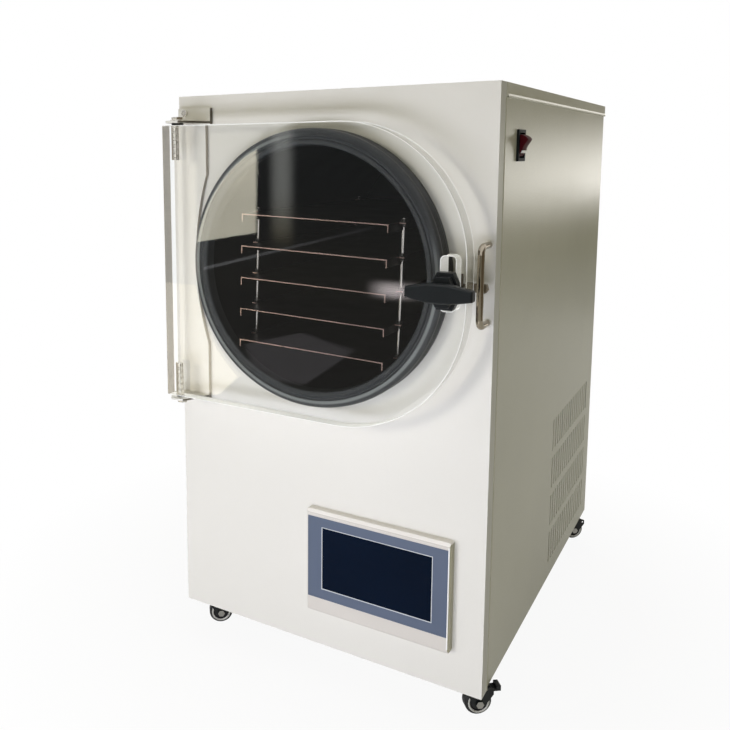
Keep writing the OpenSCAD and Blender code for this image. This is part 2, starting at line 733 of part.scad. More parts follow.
// Puts a piece drawn upwards from z = 0 on the upper tab, or its mirror image under the lower
module on_upper(up) translate([pin_x, pin_y, tab_z1 + up]) children();
module on_lower(up) translate([pin_x, pin_y, tab_z0 - up]) mirror([0, 0, 1]) children();
module pin(w) {
    hexagon(w, pin_head_h);
    translate([0, 0, -washer_t - tab_t - bush_h - pin_depth])
        cylinder(r = pin_r, h = washer_t + tab_t + bush_h + pin_depth + 0.5);
}
module ring(r, h) difference() {
    cylinder(r = r, h = h);
    translate([0, 0, -1]) cylinder(r = pin_r, h = h + 2);
}
module hinge_pins() color("silver") place() {
    on_upper(tab_t + washer_t) pin(pin_head_w);
    on_lower(tab_t + washer_t) pin(pin_foot_w);
}
module hinge_washers() color("silver") place() {
    on_upper(tab_t) ring(washer_r, washer_t);
    on_lower(tab_t) ring(foot_r, washer_t);
}
module hinge_bushes() color("black") place() {
    on_upper(-bush_h) ring(bush_r, bush_h);
    on_lower(-bush_h) ring(bush_r, bush_h);
}

// ---- latch ---------------------------------------------------------------------------------
// Octagonal housing that tapers towards the handle, with a neck down into the door's slot
module housing_ring(w, h, c) polygon([[-w / 2, -h / 2 + c], [-w / 2 + c * 0.45, -h / 2],
    [w / 2 - c * 0.45, -h / 2], [w / 2, -h / 2 + c], [w / 2, h / 2 - c],
    [w / 2 - c * 0.45, h / 2], [-w / 2 + c * 0.45, h / 2], [-w / 2, h / 2 - c]]);
module latch_housing() color("black") place() difference() {
    union() {
        translate([slot_x, housing_y + housing_t, latch_z]) rotate([90, 0, 0]) {
            linear_extrude(housing_t * 0.55) housing_ring(housing_w, housing_h, 12);
            linear_extrude(housing_t) housing_ring(housing_w - 4, housing_h - 8, 11);
        }
        bx(about(slot_x, slot_w / 2 - 0.3), [door_front - 0.1, door_back],
            about(latch_z, 11));
    }
    cyl_y(shaft_r + shaft_gap, slot_x, latch_z, [wing_y - 1, door_back + 1]);
}
module latch_clamp() color("dimgray") place() difference() {
    bx(about(slot_x, slot_w / 2 + 3), [door_back, door_back + clamp_t], about(latch_z, 17));
    cyl_y(shaft_r + shaft_gap, slot_x, latch_z, [door_back - 1, door_back + clamp_t + 1]);
}
// The wing: a lozenge with blunt tips, its front edges bevelled along the whole outline
module wing_shape(d) {
    l = wing_l / 2 - d;
    w = wing_w / 2 - d;
    t = wing_tip / 2 - d / 2;
    polygon([[-l, -t], [-wing_l * 0.16, -w], [wing_l * 0.16, -w], [l, -t],
        [l, t], [wing_l * 0.16, w], [-wing_l * 0.16, w], [-l, t]]);
}
module latch_handle() color("black") place() difference() {
    translate([slot_x, wing_y, latch_z]) rotate([90, 0, 0]) union() {
        linear_extrude(wing_t - 2) wing_shape(0);
        hull() {
            translate([0, 0, wing_t - 2.2]) linear_extrude(0.2) wing_shape(0);
            translate([0, 0, wing_t - 0.2]) linear_extrude(0.2) wing_shape(2);
        }
        // short boss down to the housing
        translate([0, 0, -wing_gap + 0.3]) cylinder(r = 9, h = wing_gap);
    }
    cyl_y(shaft_r, slot_x, latch_z, [wing_front + 3, wing_y + wing_gap + 1]);
}
module latch_shaft() color("silver") place()
    cyl_y(shaft_r, slot_x, latch_z, [wing_front + 3, tongue_y + tongue_t + nut_h + 1.5]);
module latch_tongue() color("dimgray") place() difference() {
    union() {
        slab([tongue_y, tongue_y + tongue_t]) translate([slot_x, latch_z]) {
            polygon([[0, -tongue_w / 2], [tongue_l - 3, -tongue_w / 2],
                [tongue_l, -tongue_w / 2 + 4], [tongue_l - 2, tongue_w / 2], [0, tongue_w / 2]]);
            circle(r = tongue_w / 2 + 2.5);
        }
        // nose that bears on the back of the keeper
        bx([slot_x + tongue_l - 13, slot_x + tongue_l - 3], [tongue_y - nose_h, tongue_y + 1],
            about(latch_z, tongue_w / 2));
    }
    cyl_y(shaft_r, slot_x, latch_z, [tongue_y - 1, tongue_y + tongue_t + 1]);
}
module latch_nut() color("silver") place() difference() {
    translate([slot_x, tongue_y + tongue_t + nut_h, latch_z]) rotate([90, 0, 0])
        hexagon(nut_w + 2, nut_h);
    cyl_y(shaft_r, slot_x, latch_z, [tongue_y + tongue_t - 1, tongue_y + tongue_t + nut_h + 1]);
}

// ---- shelf rack ----------------------------------------------------------------------------
// The rack sits in the round chamber, turned a little about its axis
module rolled() place() translate([cx, 0, cz]) rotate([0, rack_roll, 0]) children();
function shelf_h(i) = shelf_top - i * shelf_pitch;   // top of shelf i above the axis
rod_xs = [-shelf_w / 2 - upright_off, shelf_w / 2 + upright_off];
rod_back = shelf_y + shelf_d - rod_set;
rod_at = [[rod_xs[0], shelf_y + rod_set + rod_stagger], [rod_xs[0], rod_back],
    [rod_xs[1], shelf_y + rod_set], [rod_xs[1], rod_back]];
ear_y = 12;
// The runners' outer lower edges rest on the round wall, and the lowest nuts on the runners
rail_z = -sqrt(pow(chamber_r - chamber_gap, 2) - pow(rod_xs[1] + rail_w / 2, 2));
rail_h = shelf_h(shelf_n - 1) - shelf_t - clip_h - rail_z;
module shelf(i) color("rosybrown") rolled() translate([0, 0, shelf_h(i)]) difference() {
    union() {
        bx([-shelf_w / 2, shelf_w / 2], [shelf_y, shelf_y + shelf_d], [-shelf_t, 0]);
        for (s = [-1, 1])
            bx([s > 0 ? shelf_w / 2 - shelf_t : -shelf_w / 2,
                s > 0 ? shelf_w / 2 : -shelf_w / 2 + shelf_t],
                [shelf_y, shelf_y + shelf_d], [-shelf_flange, -shelf_t / 2]);
        // ears that the rods pass through
        for (p = rod_at)
            bx(p[0] > 0 ? [shelf_w / 2 - 1, p[0] + upright_r + 2]
                : [p[0] - upright_r - 2, 1 - shelf_w / 2], about(p[1], ear_y / 2), [-shelf_t, 0]);
    }
    for (p = rod_at) translate([p[0], p[1], -shelf_t - 1])
        cylinder(r = upright_r, h = shelf_t + 2);
}
module shelf_1() shelf(0);
module shelf_2() shelf(1);
module shelf_3() shelf(2);
module shelf_4() shelf(3);
module shelf_5() shelf(4);
module heater_mats() color("black") rolled() for (i = [0:shelf_n - 1])
    bx([-shelf_w / 2 + 12, shelf_w / 2 - 12], [shelf_y + 12, shelf_y + shelf_d - 12],
        upto(shelf_h(i) - shelf_t, -mat_t));
module rack_rods() color("silver") rolled() for (p = rod_at)
    translate([p[0], p[1], rail_z + rail_h])
        cylinder(r = upright_r, h = shelf_top + rod_tip - rail_z - rail_h);
// A nut on each side of every ear
module rack_clips() color("silver") rolled()
    for (i = [0:shelf_n - 1], p = rod_at, z = [shelf_h(i), shelf_h(i) - shelf_t - clip_h])
        translate([p[0], p[1], z]) difference() {
            cylinder(r = upright_r + clip_wall, h = clip_h);
            translate([0, 0, -1]) cylinder(r = upright_r, h = clip_h + 2);
        }
module rack_rails() color("silver") rolled() for (x = rod_xs)
    bx(about(x, rail_w / 2), [shelf_y + rail_set, shelf_y + shelf_d - rail_end], upto(rail_z, rail_h));

// ---- touch panel ---------------------------------------------------------------------------
// A box whose front edges are bevelled: three profiles meet in one solid
module bevel_box(x, z, depth, c) intersection() {
    bx(x, [-depth, 0], z);
    rail(x) polygon([[0, z[0]], [0, z[1]], [-depth + c * 0.6, z[1]], [-depth, z[1] - c],
        [-depth, z[0] + c], [-depth + c * 0.6, z[0]]]);
    translate([0, 0, z[0]]) linear_extrude(z[1] - z[0]) polygon([[x[0], 0], [x[1], 0],
        [x[1], -depth + c * 0.6], [x[1] - c * 0.5, -depth], [x[0] + c * 0.5, -depth],
        [x[0], -depth + c * 0.6]]);
}
module hmi_bezel() color("gainsboro") place() difference() {
    bevel_box([hmi_x, hmi_x + hmi_w], [hmi_z, hmi_z + hmi_h], hmi_out, hmi_cham);
    bx([hmi_x + 2.5, hmi_x + hmi_w - 2.5], [-hmi_out - 1, -hmi_out + 0.8], [field_z, field_z1]);
    bx([screen_x - 3, screen_x + screen_w + 3], [-hmi_out, 1],
        [screen_z - 3, screen_z + screen_h + 3]);
    // step line under the top edge
    bx([hmi_x - 1, hmi_x + hmi_w + 1], [-hmi_out - 1, -hmi_out + 0.4], [field_z1 + 2.6, field_z1 + 3.4]);
}
module hmi_field() color("slategray") place() difference() {
    bx([hmi_x + 2.5, hmi_x + hmi_w - 2.5], [-hmi_out + 0.1, -hmi_out + 0.8], [field_z, field_z1]);
    bx([screen_x, screen_x + screen_w], [-hmi_out - 1, -hmi_out + 2], [screen_z, screen_z + screen_h]);
}
module hmi_screen() color("midnightblue") place() union() {
    bx([screen_x, screen_x + screen_w], [-hmi_out + 0.3, -hmi_out + 0.8],
        [screen_z, screen_z + screen_h]);
    bx([screen_x - 3, screen_x + screen_w + 3], [-hmi_out + 0.8, -2],
        [screen_z - 3, screen_z + screen_h + 3]);
}
module hmi_case() color("dimgray") place() union() {
    bx([hmi_x + 4, hmi_x + hmi_w - 4], [0, case_d - 8], [hmi_z + 3, hmi_z + hmi_h - 3]);
    bx([hmi_x + 16, hmi_x + hmi_w - 16], [0, case_d], [hmi_z + 15, hmi_z + hmi_h - 15]);
}

// ---- switch --------------------------------------------------------------------------------
switch_open = rocker_half + 1.6;           // half the height of the bezel's window
module switch_body() color("black") place() difference() {
    union() {
        bx([side_x, switch_x], about(switch_cy, switch_w / 2),
            about(switch_z, switch_h / 2));
        bx([side_x - 26, side_x], about(switch_cy, (switch_w - 5) / 2),
            about(switch_z, (switch_h - 3) / 2));
    }
    bx([side_x - 20, switch_x + 1], about(switch_cy, rocker_w / 2 + 0.4),
        about(switch_z, switch_open));
    cyl_y(2 + shaft_gap, rocker_px, switch_z, about(switch_cy, rocker_w / 2 + 1.4));
}
// Seen from the front, the rocker is a wedge: its upper end stands out, its lower end is pressed in
module rocker_profile() {
    x0 = switch_x - rocker_px;
    polygon([[-3, -8], [x0 - 1.2, -rocker_half], [x0 + 1.4, -3.4], [x0 + rocker_out, rocker_half - 4],
        [x0, rocker_half], [-3, 8]]);
}
module switch_rocker() color("firebrick") place() {
    translate([rocker_px, switch_cy + rocker_w / 2, switch_z]) rotate([90, 0, 0])
        linear_extrude(rocker_w) rocker_profile();
    // trunnions that the rocker turns on
    cyl_y(2, rocker_px, switch_z, about(switch_cy, rocker_w / 2 + 1.2));
}

// ---- back and plant ------------------------------------------------------------------------
module vacuum_pipe() color("silver") place() difference() {
    union() {
        cyl_y(tube_r, cx, port_z, [chamber_len, back_y + port_out]);
        cyl_y(port_r, cx, port_z, [back_y + port_out - port_t, back_y + port_out]);
    }
    cyl_y(tube_bore, cx, port_z, [chamber_len - 1, back_y + port_out + 1]);
}
module drain_pipe() color("silver") place() difference() {
    union() {
        cyl_y(drain_r, cx, drain_z, [chamber_len, back_y + drain_out]);
        for (i = [0:2]) translate([cx, back_y + drain_out - 6 - i * 5, drain_z]) rotate([-90, 0, 0])
            cylinder(r1 = drain_r + 1.4, r2 = drain_r, h = 4);
    }
    cyl_y(drain_r - 1.5, cx, drain_z, [chamber_len - 1, back_y + drain_out + 1]);
}
module power_inlet() color("black") place() difference() {
    union() {
        bx(about(inlet_x, inlet_w / 2), [back_y, back_y + inlet_t], about(inlet_z, inlet_h / 2));
        bx(socket_x, [back_in - inlet_body, back_y], socket_z);
    }
    bx(about(inlet_x, socket_w / 2 - 2), [back_y - socket_deep, back_y + inlet_t + 1],
        about(inlet_z, socket_h / 2 - 3));
}
module compressor() color("black") place() translate([comp_x, comp_y, sheet_t]) {
    // pot: a turned shell with domed ends
    rotate_extrude() polygon(concat([[0, foot_h + 3]],
        arc([comp_r - 30, foot_h + 33], 30, 270, 360, 6),
        arc([comp_r - 40, comp_h - 40], 40, 0, 90, 8), [[0, comp_h]]));
    difference() {
        bx([-comp_r, comp_r], [-comp_r, comp_r], [foot_h, foot_h + 3]);
        for (x = [-1, 1], y = [-1, 1]) translate([x * (comp_r - 12), y * (comp_r - 12), foot_h - 1])
            cylinder(r = 4, h = 5);
    }
    for (x = [-1, 1], y = [-1, 1]) translate([x * (comp_r - 12), y * (comp_r - 12), 0])
        cylinder(r1 = 11, r2 = 8, h = foot_h);
    // suction and discharge lines up to the deck
    for (x = [-1, 1]) translate([x * 24, 10, comp_h - 12])
        cylinder(r = line_r, h = deck_z - 2 * sheet_t - comp_h + 12);
}
// Finned core between two end plates that stand on the base
fin_n = 14;
module condenser() color("darkgray") place() {
    for (y = [-1, 1])
        bx([cond_x1 - cond_t, cond_x1], about(cond_cy + y * (cond_w / 2 - 1), 1),
            [sheet_t, cond_z0 + cond_h]);
    for (i = [0:fin_n - 1])
        bx([cond_x1 - cond_t + 2, cond_x1 - 2],
            about(cond_cy + (i + 0.5 - fin_n / 2) * (cond_w - 14) / fin_n, 0.5),
            [cond_z0, cond_z0 + cond_h]);
    for (z = [0:5], x = [cond_x1 - cond_t * 0.72, cond_x1 - cond_t * 0.28])
        cyl_y(4, x, cond_z0 + (z + 0.5) * cond_h / 6, about(cond_cy, cond_w / 2));
}
module fan_shroud() color("black") place() difference() {
    bx([shroud_x, cond_x1 - cond_t], about(cond_cy, cond_w / 2), [sheet_t, cond_z0 + cond_h]);
    bx([shroud_x + 2, cond_x1 - cond_t + 1], about(cond_cy, cond_w / 2 - 2),
        [cond_z0 - 10, cond_z0 + cond_h - 2]);
    difference() {
        cyl_x(fan_r + 4, cond_cy, fan_z, [shroud_x - 1, shroud_x + 3]);
        for (a = [0, 60, 120]) translate([shroud_x + 1, cond_cy, fan_z]) rotate([a, 0, 0])
            cube([4, 6, 2 * fan_r + 20], center = true);
        cyl_x(hub_r - 2, cond_cy, fan_z, [shroud_x - 2, shroud_x + 4]);
    }
    cyl_x(3 + axle_gap, cond_cy, fan_z, [shroud_x - 2, shroud_x + 4]);
}
module fan_rotor() color("dimgray") place() translate([shroud_x + 4, cond_cy, fan_z]) rotate([0, 90, 0]) {
    cylinder(r = hub_r, h = hub_l);
    translate([0, 0, -6]) cylinder(r = 3, h = 7);
    for (i = [0:fan_n - 1]) rotate([0, 0, i * 360 / fan_n]) translate([hub_r - 4, 0, hub_l / 2])
        rotate([28, 0, 0]) translate([0, -hub_l, -1]) cube([fan_r - hub_r, 2 * hub_l, 2]);
}

// ---- casters -------------------------------------------------------------------------------
module caster_plates() color("silver") place() for (x = corner_x, y = corner_y)
    translate([x, y, 0]) {
        translate([-caster_plate / 2, -caster_plate / 2, -caster_plate_t])
            cube([caster_plate, caster_plate, caster_plate_t]);
        translate([0, 0, -7]) cylinder(r1 = cup_r, r2 = cup_r + 2, h = 5.5);
        // kingpin that the fork swivels on, with its riveted head below
        translate([0, 0, king_z]) cylinder(r = axle_r, h = -5.6 - king_z);
        translate([0, 0, king_z]) cylinder(r = axle_r + 2, h = -10.1 - king_z);
    }
// Draws at a caster, its local X pointing the way the wheel trails
module at_caster(i, j) place() translate([corner_x[i], corner_y[j], 0])
    rotate([0, 0, caster_turn]) children();
fork_in = wheel_w / 2 + 0.6;
fork_t = 2;
module fork(i, j) color("black") at_caster(i, j) difference() {
    union() {
        translate([0, 0, -9.8]) cylinder(r = 13, h = 2.4);
        translate([0, -fork_in - fork_t, -9.8]) cube([21, 2 * (fork_in + fork_t), 2.4]);
        for (s = [-1, 1]) translate([0, s > 0 ? fork_in + fork_t : -fork_in, 0]) rotate([90, 0, 0])
            linear_extrude(fork_t) polygon([[-9, -7.6], [-6, -16], [trail - 6, axle_z - 5],
                [trail + 6, axle_z - 5], [pivot_u + 3, pivot_z - 3.5], [pivot_u + 3, pivot_z + 3.5],
                [21, -7.6]]);
        // axle with its two nuts
        translate([trail, fork_in + fork_t + 3, axle_z]) rotate([90, 0, 0])
            cylinder(r = axle_r, h = 2 * (fork_in + fork_t + 3));
        for (s = [-1, 1]) translate([trail, s * (fork_in + fork_t) + (s > 0 ? 3 : 0), axle_z])
            rotate([90, 0, 0]) hexagon(9, 3);
    }
    translate([0, 0, -12]) cylinder(r = axle_r + axle_gap, h = 8);
    // holes for the pedal's pivot
    translate([pivot_u, 20, pivot_z]) rotate([90, 0, 0]) cylinder(r = 1.5 + axle_gap, h = 40);
}
module fork_fl() fork(0, 0);
module fork_fr() fork(1, 0);
module fork_bl() fork(0, 1);
module fork_br() fork(1, 1);
// Tyre and hub turned as one piece, with the bearing cover's ring standing out of each face
module wheel(i, j) color("black") at_caster(i, j) translate([trail, 0, axle_z]) rotate([90, 0, 0])
    rotate_extrude() polygon([[axle_r + axle_gap, -wheel_w / 2], [6, -wheel_w / 2],
        [7, -wheel_w / 2 + 2], [10.5, -wheel_w / 2 + 2], [11, -wheel_w / 2 + 0.6],
        [12.5, -wheel_w / 2 + 0.6], [13, -wheel_w / 2], [wheel_r - 3, -wheel_w / 2],
        [wheel_r, -wheel_w / 2 + 3], [wheel_r, wheel_w / 2 - 3], [wheel_r - 3, wheel_w / 2],
        [13, wheel_w / 2], [12.5, wheel_w / 2 - 0.6], [11, wheel_w / 2 - 0.6],
        [10.5, wheel_w / 2 - 2], [7, wheel_w / 2 - 2], [6, wheel_w / 2], [axle_r + axle_gap, wheel_w / 2]]);
module wheel_fl() wheel(0, 0);
module wheel_fr() wheel(1, 0);
module wheel_bl() wheel(0, 1);
module wheel_br() wheel(1, 1);
// Brake pedal on the front casters, on a pivot between the fork's cheeks
module pedal(i, j) color("black") at_caster(i, j) {
    translate([pivot_u, 0, pivot_z]) rotate([90, 0, 0])
        cylinder(r = 1.5, h = 2 * (fork_in + fork_t), center = true);
    translate([pivot_u, 0, pivot_z]) rotate([90, 0, 0]) cylinder(r = 3, h = pedal_w, center = true);
    translate([pivot_u + 1, -pedal_w / 2, pivot_z - 2]) cube([pedal_u - pivot_u - 1, pedal_w, 3]);
    translate([pedal_u - 6, -pedal_w / 2, pivot_z - 2]) cube([6, pedal_w, 7]);
}
module pedal_fl() pedal(0, 0);
module pedal_fr() pedal(1, 0);

front_panel();
left_panel();
right_panel();
rear_panel();
top_cover();
base_pan();
frame();
deck();
vacuum_chamber();
control_box();
saddles();
cold_coil();
jacket();
door_gasket();
hinge_plate();
hinge_screws();
keeper_rod();
door_panel();
hinge_pins();
hinge_washers();
hinge_bushes();
latch_housing();
latch_clamp();
latch_handle();
latch_shaft();
latch_tongue();
latch_nut();
shelf_1();
shelf_2();
shelf_3();
shelf_4();
shelf_5();
heater_mats();
rack_rods();
rack_clips();
rack_rails();
hmi_bezel();
hmi_field();
hmi_screen();
hmi_case();
switch_body();
switch_rocker();
vacuum_pipe();
drain_pipe();
power_inlet();
compressor();
condenser();
fan_shroud();
fan_rotor();
caster_plates();
fork_fl();
fork_fr();
fork_bl();
fork_br();
wheel_fl();
wheel_fr();
wheel_bl();
wheel_br();
pedal_fl();
pedal_fr();
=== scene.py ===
"""Dresses a laboratory shelf freeze dryer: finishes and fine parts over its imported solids."""

import functools
import json
import math

import bmesh
import bpy
from mathutils import Matrix, Vector

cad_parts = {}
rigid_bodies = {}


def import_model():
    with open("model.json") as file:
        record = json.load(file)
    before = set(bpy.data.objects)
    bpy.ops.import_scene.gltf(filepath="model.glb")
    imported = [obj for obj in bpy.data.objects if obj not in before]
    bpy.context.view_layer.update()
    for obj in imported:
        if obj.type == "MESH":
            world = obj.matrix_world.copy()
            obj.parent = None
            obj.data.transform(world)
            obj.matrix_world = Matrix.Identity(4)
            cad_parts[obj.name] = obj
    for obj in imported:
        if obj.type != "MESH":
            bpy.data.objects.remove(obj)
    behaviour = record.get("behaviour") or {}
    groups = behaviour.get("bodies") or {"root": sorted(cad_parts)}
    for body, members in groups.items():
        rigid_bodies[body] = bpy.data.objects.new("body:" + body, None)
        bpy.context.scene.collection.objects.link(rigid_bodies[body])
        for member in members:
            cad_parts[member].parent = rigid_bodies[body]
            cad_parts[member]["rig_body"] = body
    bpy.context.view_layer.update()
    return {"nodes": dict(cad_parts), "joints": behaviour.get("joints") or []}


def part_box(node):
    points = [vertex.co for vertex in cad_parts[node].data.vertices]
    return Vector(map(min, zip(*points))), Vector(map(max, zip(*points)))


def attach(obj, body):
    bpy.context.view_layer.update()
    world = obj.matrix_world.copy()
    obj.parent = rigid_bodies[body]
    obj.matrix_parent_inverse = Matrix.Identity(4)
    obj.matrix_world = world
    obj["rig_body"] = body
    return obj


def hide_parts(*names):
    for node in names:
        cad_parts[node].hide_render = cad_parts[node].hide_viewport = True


bl_info = {
    "name": "Freeze dryer dressing",
    "version": (1, 0, 0),
    "blender": (4, 5, 0),
    "location": "3D View > Sidebar > Freeze dryer",
    "description": "Finishes, fine parts and a studio for a shelf freeze dryer on casters",
    "category": "Object",
}

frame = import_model()
NODES = frame["nodes"]
BODY_OF = {name: obj["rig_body"] for name, obj in NODES.items()}
JOINT_OF = {joint["name"]: joint for joint in frame["joints"]}
MM = 0.001

# Landmarks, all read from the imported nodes
DOOR_LO, DOOR_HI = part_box("door_panel")
PANEL_LO, PANEL_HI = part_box("front_panel")
CHAMBER_LO, CHAMBER_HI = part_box("vacuum_chamber")
AXIS_Z = (CHAMBER_LO.z + CHAMBER_HI.z) / 2
SEAL_LO, SEAL_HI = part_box("door_gasket")
SEAL_R = (SEAL_HI.x - SEAL_LO.x) / 2
SEAL_X = SEAL_LO.x + SEAL_R

# Where the camera stands, and how high the reflecting boards lie over the floor
EYE = Vector((0.4861, -1.21045, 0.7113))
FLOOR_BOARD = 0.006

# Widths of softened edges: thin sheet, small parts, bold mouldings
THIN_EDGE = 0.3 * MM
SMALL_EDGE = 0.4 * MM
BOLD_EDGE = 0.8 * MM

WHITE = (1.0, 1.0, 1.0, 1.0)


def rgb(*display):
    """A display colour, 0 to 255, as the linear colour that sockets take."""

    def lin(c):
        c /= 255.0
        return c / 12.92 if c <= 0.04045 else ((c + 0.055) / 1.055) ** 2.4

    return (*map(lin, display), 1.0)


# ---------------------------------------------------------------- settings


def swatch(label, note, value):
    """A colour that a user can change."""
    return bpy.props.FloatVectorProperty(
        name=label, description=note, size=4, subtype="COLOR", min=0.0, max=1.0, default=value)


def number(label, note, value, least, most, **kind):
    """A number that a user can change."""
    return bpy.props.FloatProperty(
        name=label, description=note, default=value, min=least, max=most, **kind)


def length(label, note, value, least, most):
    """A length, given in mm, that a user can change."""
    return number(label, note, value * MM, least * MM, most * MM, subtype="DISTANCE",
                  unit="LENGTH")


def power(label, note, value):
    """A lamp's power."""
    return number(label, note, value, 0.0, 400.0, subtype="POWER")


class DryerFinish(bpy.types.PropertyGroup):
    """Colours of the dryer's finishes."""

    coat: swatch("Powder coat", "Warm white coat of the cabinet", rgb(228, 226, 220))
    silicone: swatch("Silicone", "Door gasket", rgb(45, 48, 51))
    lining: swatch("Chamber lining", "Dark inside of the vacuum chamber", rgb(21, 20, 22))
    shelf: swatch("Shelf alloy", "Warm metal of the shelves", rgb(206, 178, 170))
    nylon: swatch("Nylon", "Black mouldings", rgb(14, 18, 20))
    bezel: swatch("Bezel", "Silver frame of the touch panel", rgb(212, 207, 201))
    slate: swatch("Slate field", "Printed field round the display", rgb(88, 99, 120))
    display: swatch("Display", "Dark display", rgb(2, 15, 34))
    rocker: swatch("Rocker", "Red switch rocker", rgb(74, 6, 18))
    copper: swatch("Copper", "Refrigeration tube", rgb(190, 120, 86))


class DryerDetail(bpy.types.PropertyGroup):
    """Sizes of the fine parts."""

    edge: length("Sheet edge", "Radius of folded sheet edges", 0.8, 0.1, 2)
    door_edge: length("Door edge", "Width of the door's polished edge bevel", 1.6, 0.4, 3)
    thread_pitch: length("Thread pitch", "Distance between thread crests on the hinge pins",
                         1.75, 0.8, 2)
    screw_head: length("Screw head", "Radius of the rear panel's screw heads", 3.6, 2, 5)
    rear_screws: bpy.props.IntProperty(
        name="Rear screws", description="Screws along each side of the rear panel",
        default=6, min=3, max=10)


class DryerStage(bpy.types.PropertyGroup):
    """The studio: camera, lamps and what the door and the right side mirror."""

    lens: number("Lens", "Focal length on a 36 mm sensor, in millimetres", 40.31, 20.0, 120.0)
    low: power("Low lamp", "Power of the wide lamp near the floor in front", 11.0)
    key: power("Key lamp", "Power of the lamp up on the left that casts the shadows", 12.0)
    top: power("Top lamp", "Power of the lamp over the dryer", 4.0)
    back: power("Back lamp", "Power of the lamp behind the dryer", 14.0)
    air: number("Room light", "Brightness of the room round the dryer", 0.15, 0.0, 2.0)
    wall: number("Bright wall", "Brightness of the wall that the door mirrors", 5.6, 0.0, 8.0)
    window: number("Window", "Brightness of the window that the right side mirrors", 1.95,
                   0.0, 8.0)


# ---------------------------------------------------------------- meshes


def link(name, mesh):
    """Puts a mesh into the scene as an object of that name."""
    obj = bpy.data.objects.new(name, mesh)
    bpy.context.scene.collection.objects.link(obj)
    return obj


def mesh_of(name, bm):
    """Turns a bmesh into a mesh."""
    mesh = bpy.data.meshes.new(name)
    bm.to_mesh(mesh)
    bm.free()
    return mesh


def mesh_object(name, bm):
    """Turns a bmesh into an object with outward faces."""
    bmesh.ops.recalc_face_normals(bm, faces=bm.faces)
    return link(name, mesh_of(name, bm))


def rows_object(name, rows, caps=True, loop=False, angle=None):
    """A piece skinned over rows of points, each row a closed ring.

    Caps close the first and the last ring, a loop joins the last ring to the first. With an
    angle, edges less sharp than that are shaded smooth.
    """
    bm = bmesh.new()
    rings = [[bm.verts.new(point) for point in row] for row in rows]
    for one, two in zip(rings, rings[1:] + rings[:1] if loop else rings[1:]):
        for k in range(len(one)):
            n = (k + 1) % len(one)
            bm.faces.new((one[k], one[n], two[n], two[k]))
    if caps:
        for ring in (rings[0], rings[-1]):
            bm.faces.new(ring)
    obj = mesh_object(name, bm)
    if angle:
        soften(obj.data, angle)
    return obj


def bake(obj):
    """Replaces an object's mesh by its evaluated one and drops its modifiers."""
    bpy.context.view_layer.update()
    graph = bpy.context.evaluated_depsgraph_get()
    mesh = bpy.data.meshes.new_from_object(obj.evaluated_get(graph))
    obj.modifiers.clear()
    obj.data = mesh


def soften(mesh, angle=32.0):
    """Smooth shading that keeps every edge sharper than an angle."""
    bm = bmesh.new()
    bm.from_mesh(mesh)
    limit = math.radians(angle)
    for face in bm.faces:
        face.smooth = True
    for edge in bm.edges:
        edge.smooth = len(edge.link_faces) == 2 and edge.calc_face_angle(0.0) < limit
    bm.to_mesh(mesh)
    bm.free()


def bevel_edges(obj, width, segments, angle):
    """Bevels every edge sharper than an angle."""
    bevel = obj.modifiers.new("edge", "BEVEL")
    bevel.width = width
    bevel.segments = segments
    bevel.limit_method = "ANGLE"
    bevel.angle_limit = math.radians(angle)
    bake(obj)


def level_flats(obj):
    """Shades the flats beside a bevel as flats."""
    normals = obj.modifiers.new("flats", "WEIGHTED_NORMAL")
    normals.keep_sharp = True
    bake(obj)


def coat_piece(obj, material, body):
    """Gives a finished piece its material and its body."""
    obj.data.materials.clear()
    obj.data.materials.append(material)
    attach(obj, body)
    return obj


def coat_faces(obj, material, chosen):
    """Gives a further material to the faces that a test chooses."""
    obj.data.materials.append(material)
    index = len(obj.data.materials) - 1
    for face in obj.data.polygons:
        if chosen(face):
            face.material_index = index


def round_corners(bm, radius):
    """Rounds the outer corners whose edges run from front to back."""
    edges = []
    sharp = math.radians(46)
    for edge in bm.edges:
        if len(edge.link_faces) == 2 and edge.is_convex and edge.calc_face_angle(0.0) > sharp:
            way = edge.verts[1].co - edge.verts[0].co
            if abs(way.y) > 0.6 * way.length:
                edges.append(edge)
    bmesh.ops.bevel(bm, geom=edges, offset=radius, offset_type="OFFSET", segments=5,
                    profile=0.5, affect="EDGES")


def dress(node, material, edge=0.0, segments=2, angle=32.0, corner=0.0):
    """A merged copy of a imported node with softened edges, which stands for it."""
    bm = bmesh.new()
    bm.from_mesh(NODES[node].data)
    bmesh.ops.remove_doubles(bm, verts=bm.verts, dist=0.002 * MM)
    bmesh.ops.dissolve_limit(bm, angle_limit=math.radians(0.2), verts=bm.verts, edges=bm.edges)
    if corner > 0:
        round_corners(bm, corner)
    name = "dressed_" + node
    obj = link(name, mesh_of(name, bm))
    if edge > 0:
        bevel_edges(obj, edge, segments, angle)
    soften(obj.data, angle)
    if edge > 0:
        level_flats(obj)
    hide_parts(node)
    return coat_piece(obj, material, BODY_OF[node])


def dress_all(nodes, material, edge=0.0):
    """Dresses several nodes alike."""
    for node in nodes:
        dress(node, material, edge)


def paint(nodes, material):
    """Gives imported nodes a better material."""
    for node in nodes:
        obj = NODES[node]
        if not obj.data.materials:
            obj.data.materials.append(material)
        for slot in obj.material_slots:
            slot.material = material


# ---------------------------------------------------------------- node trees


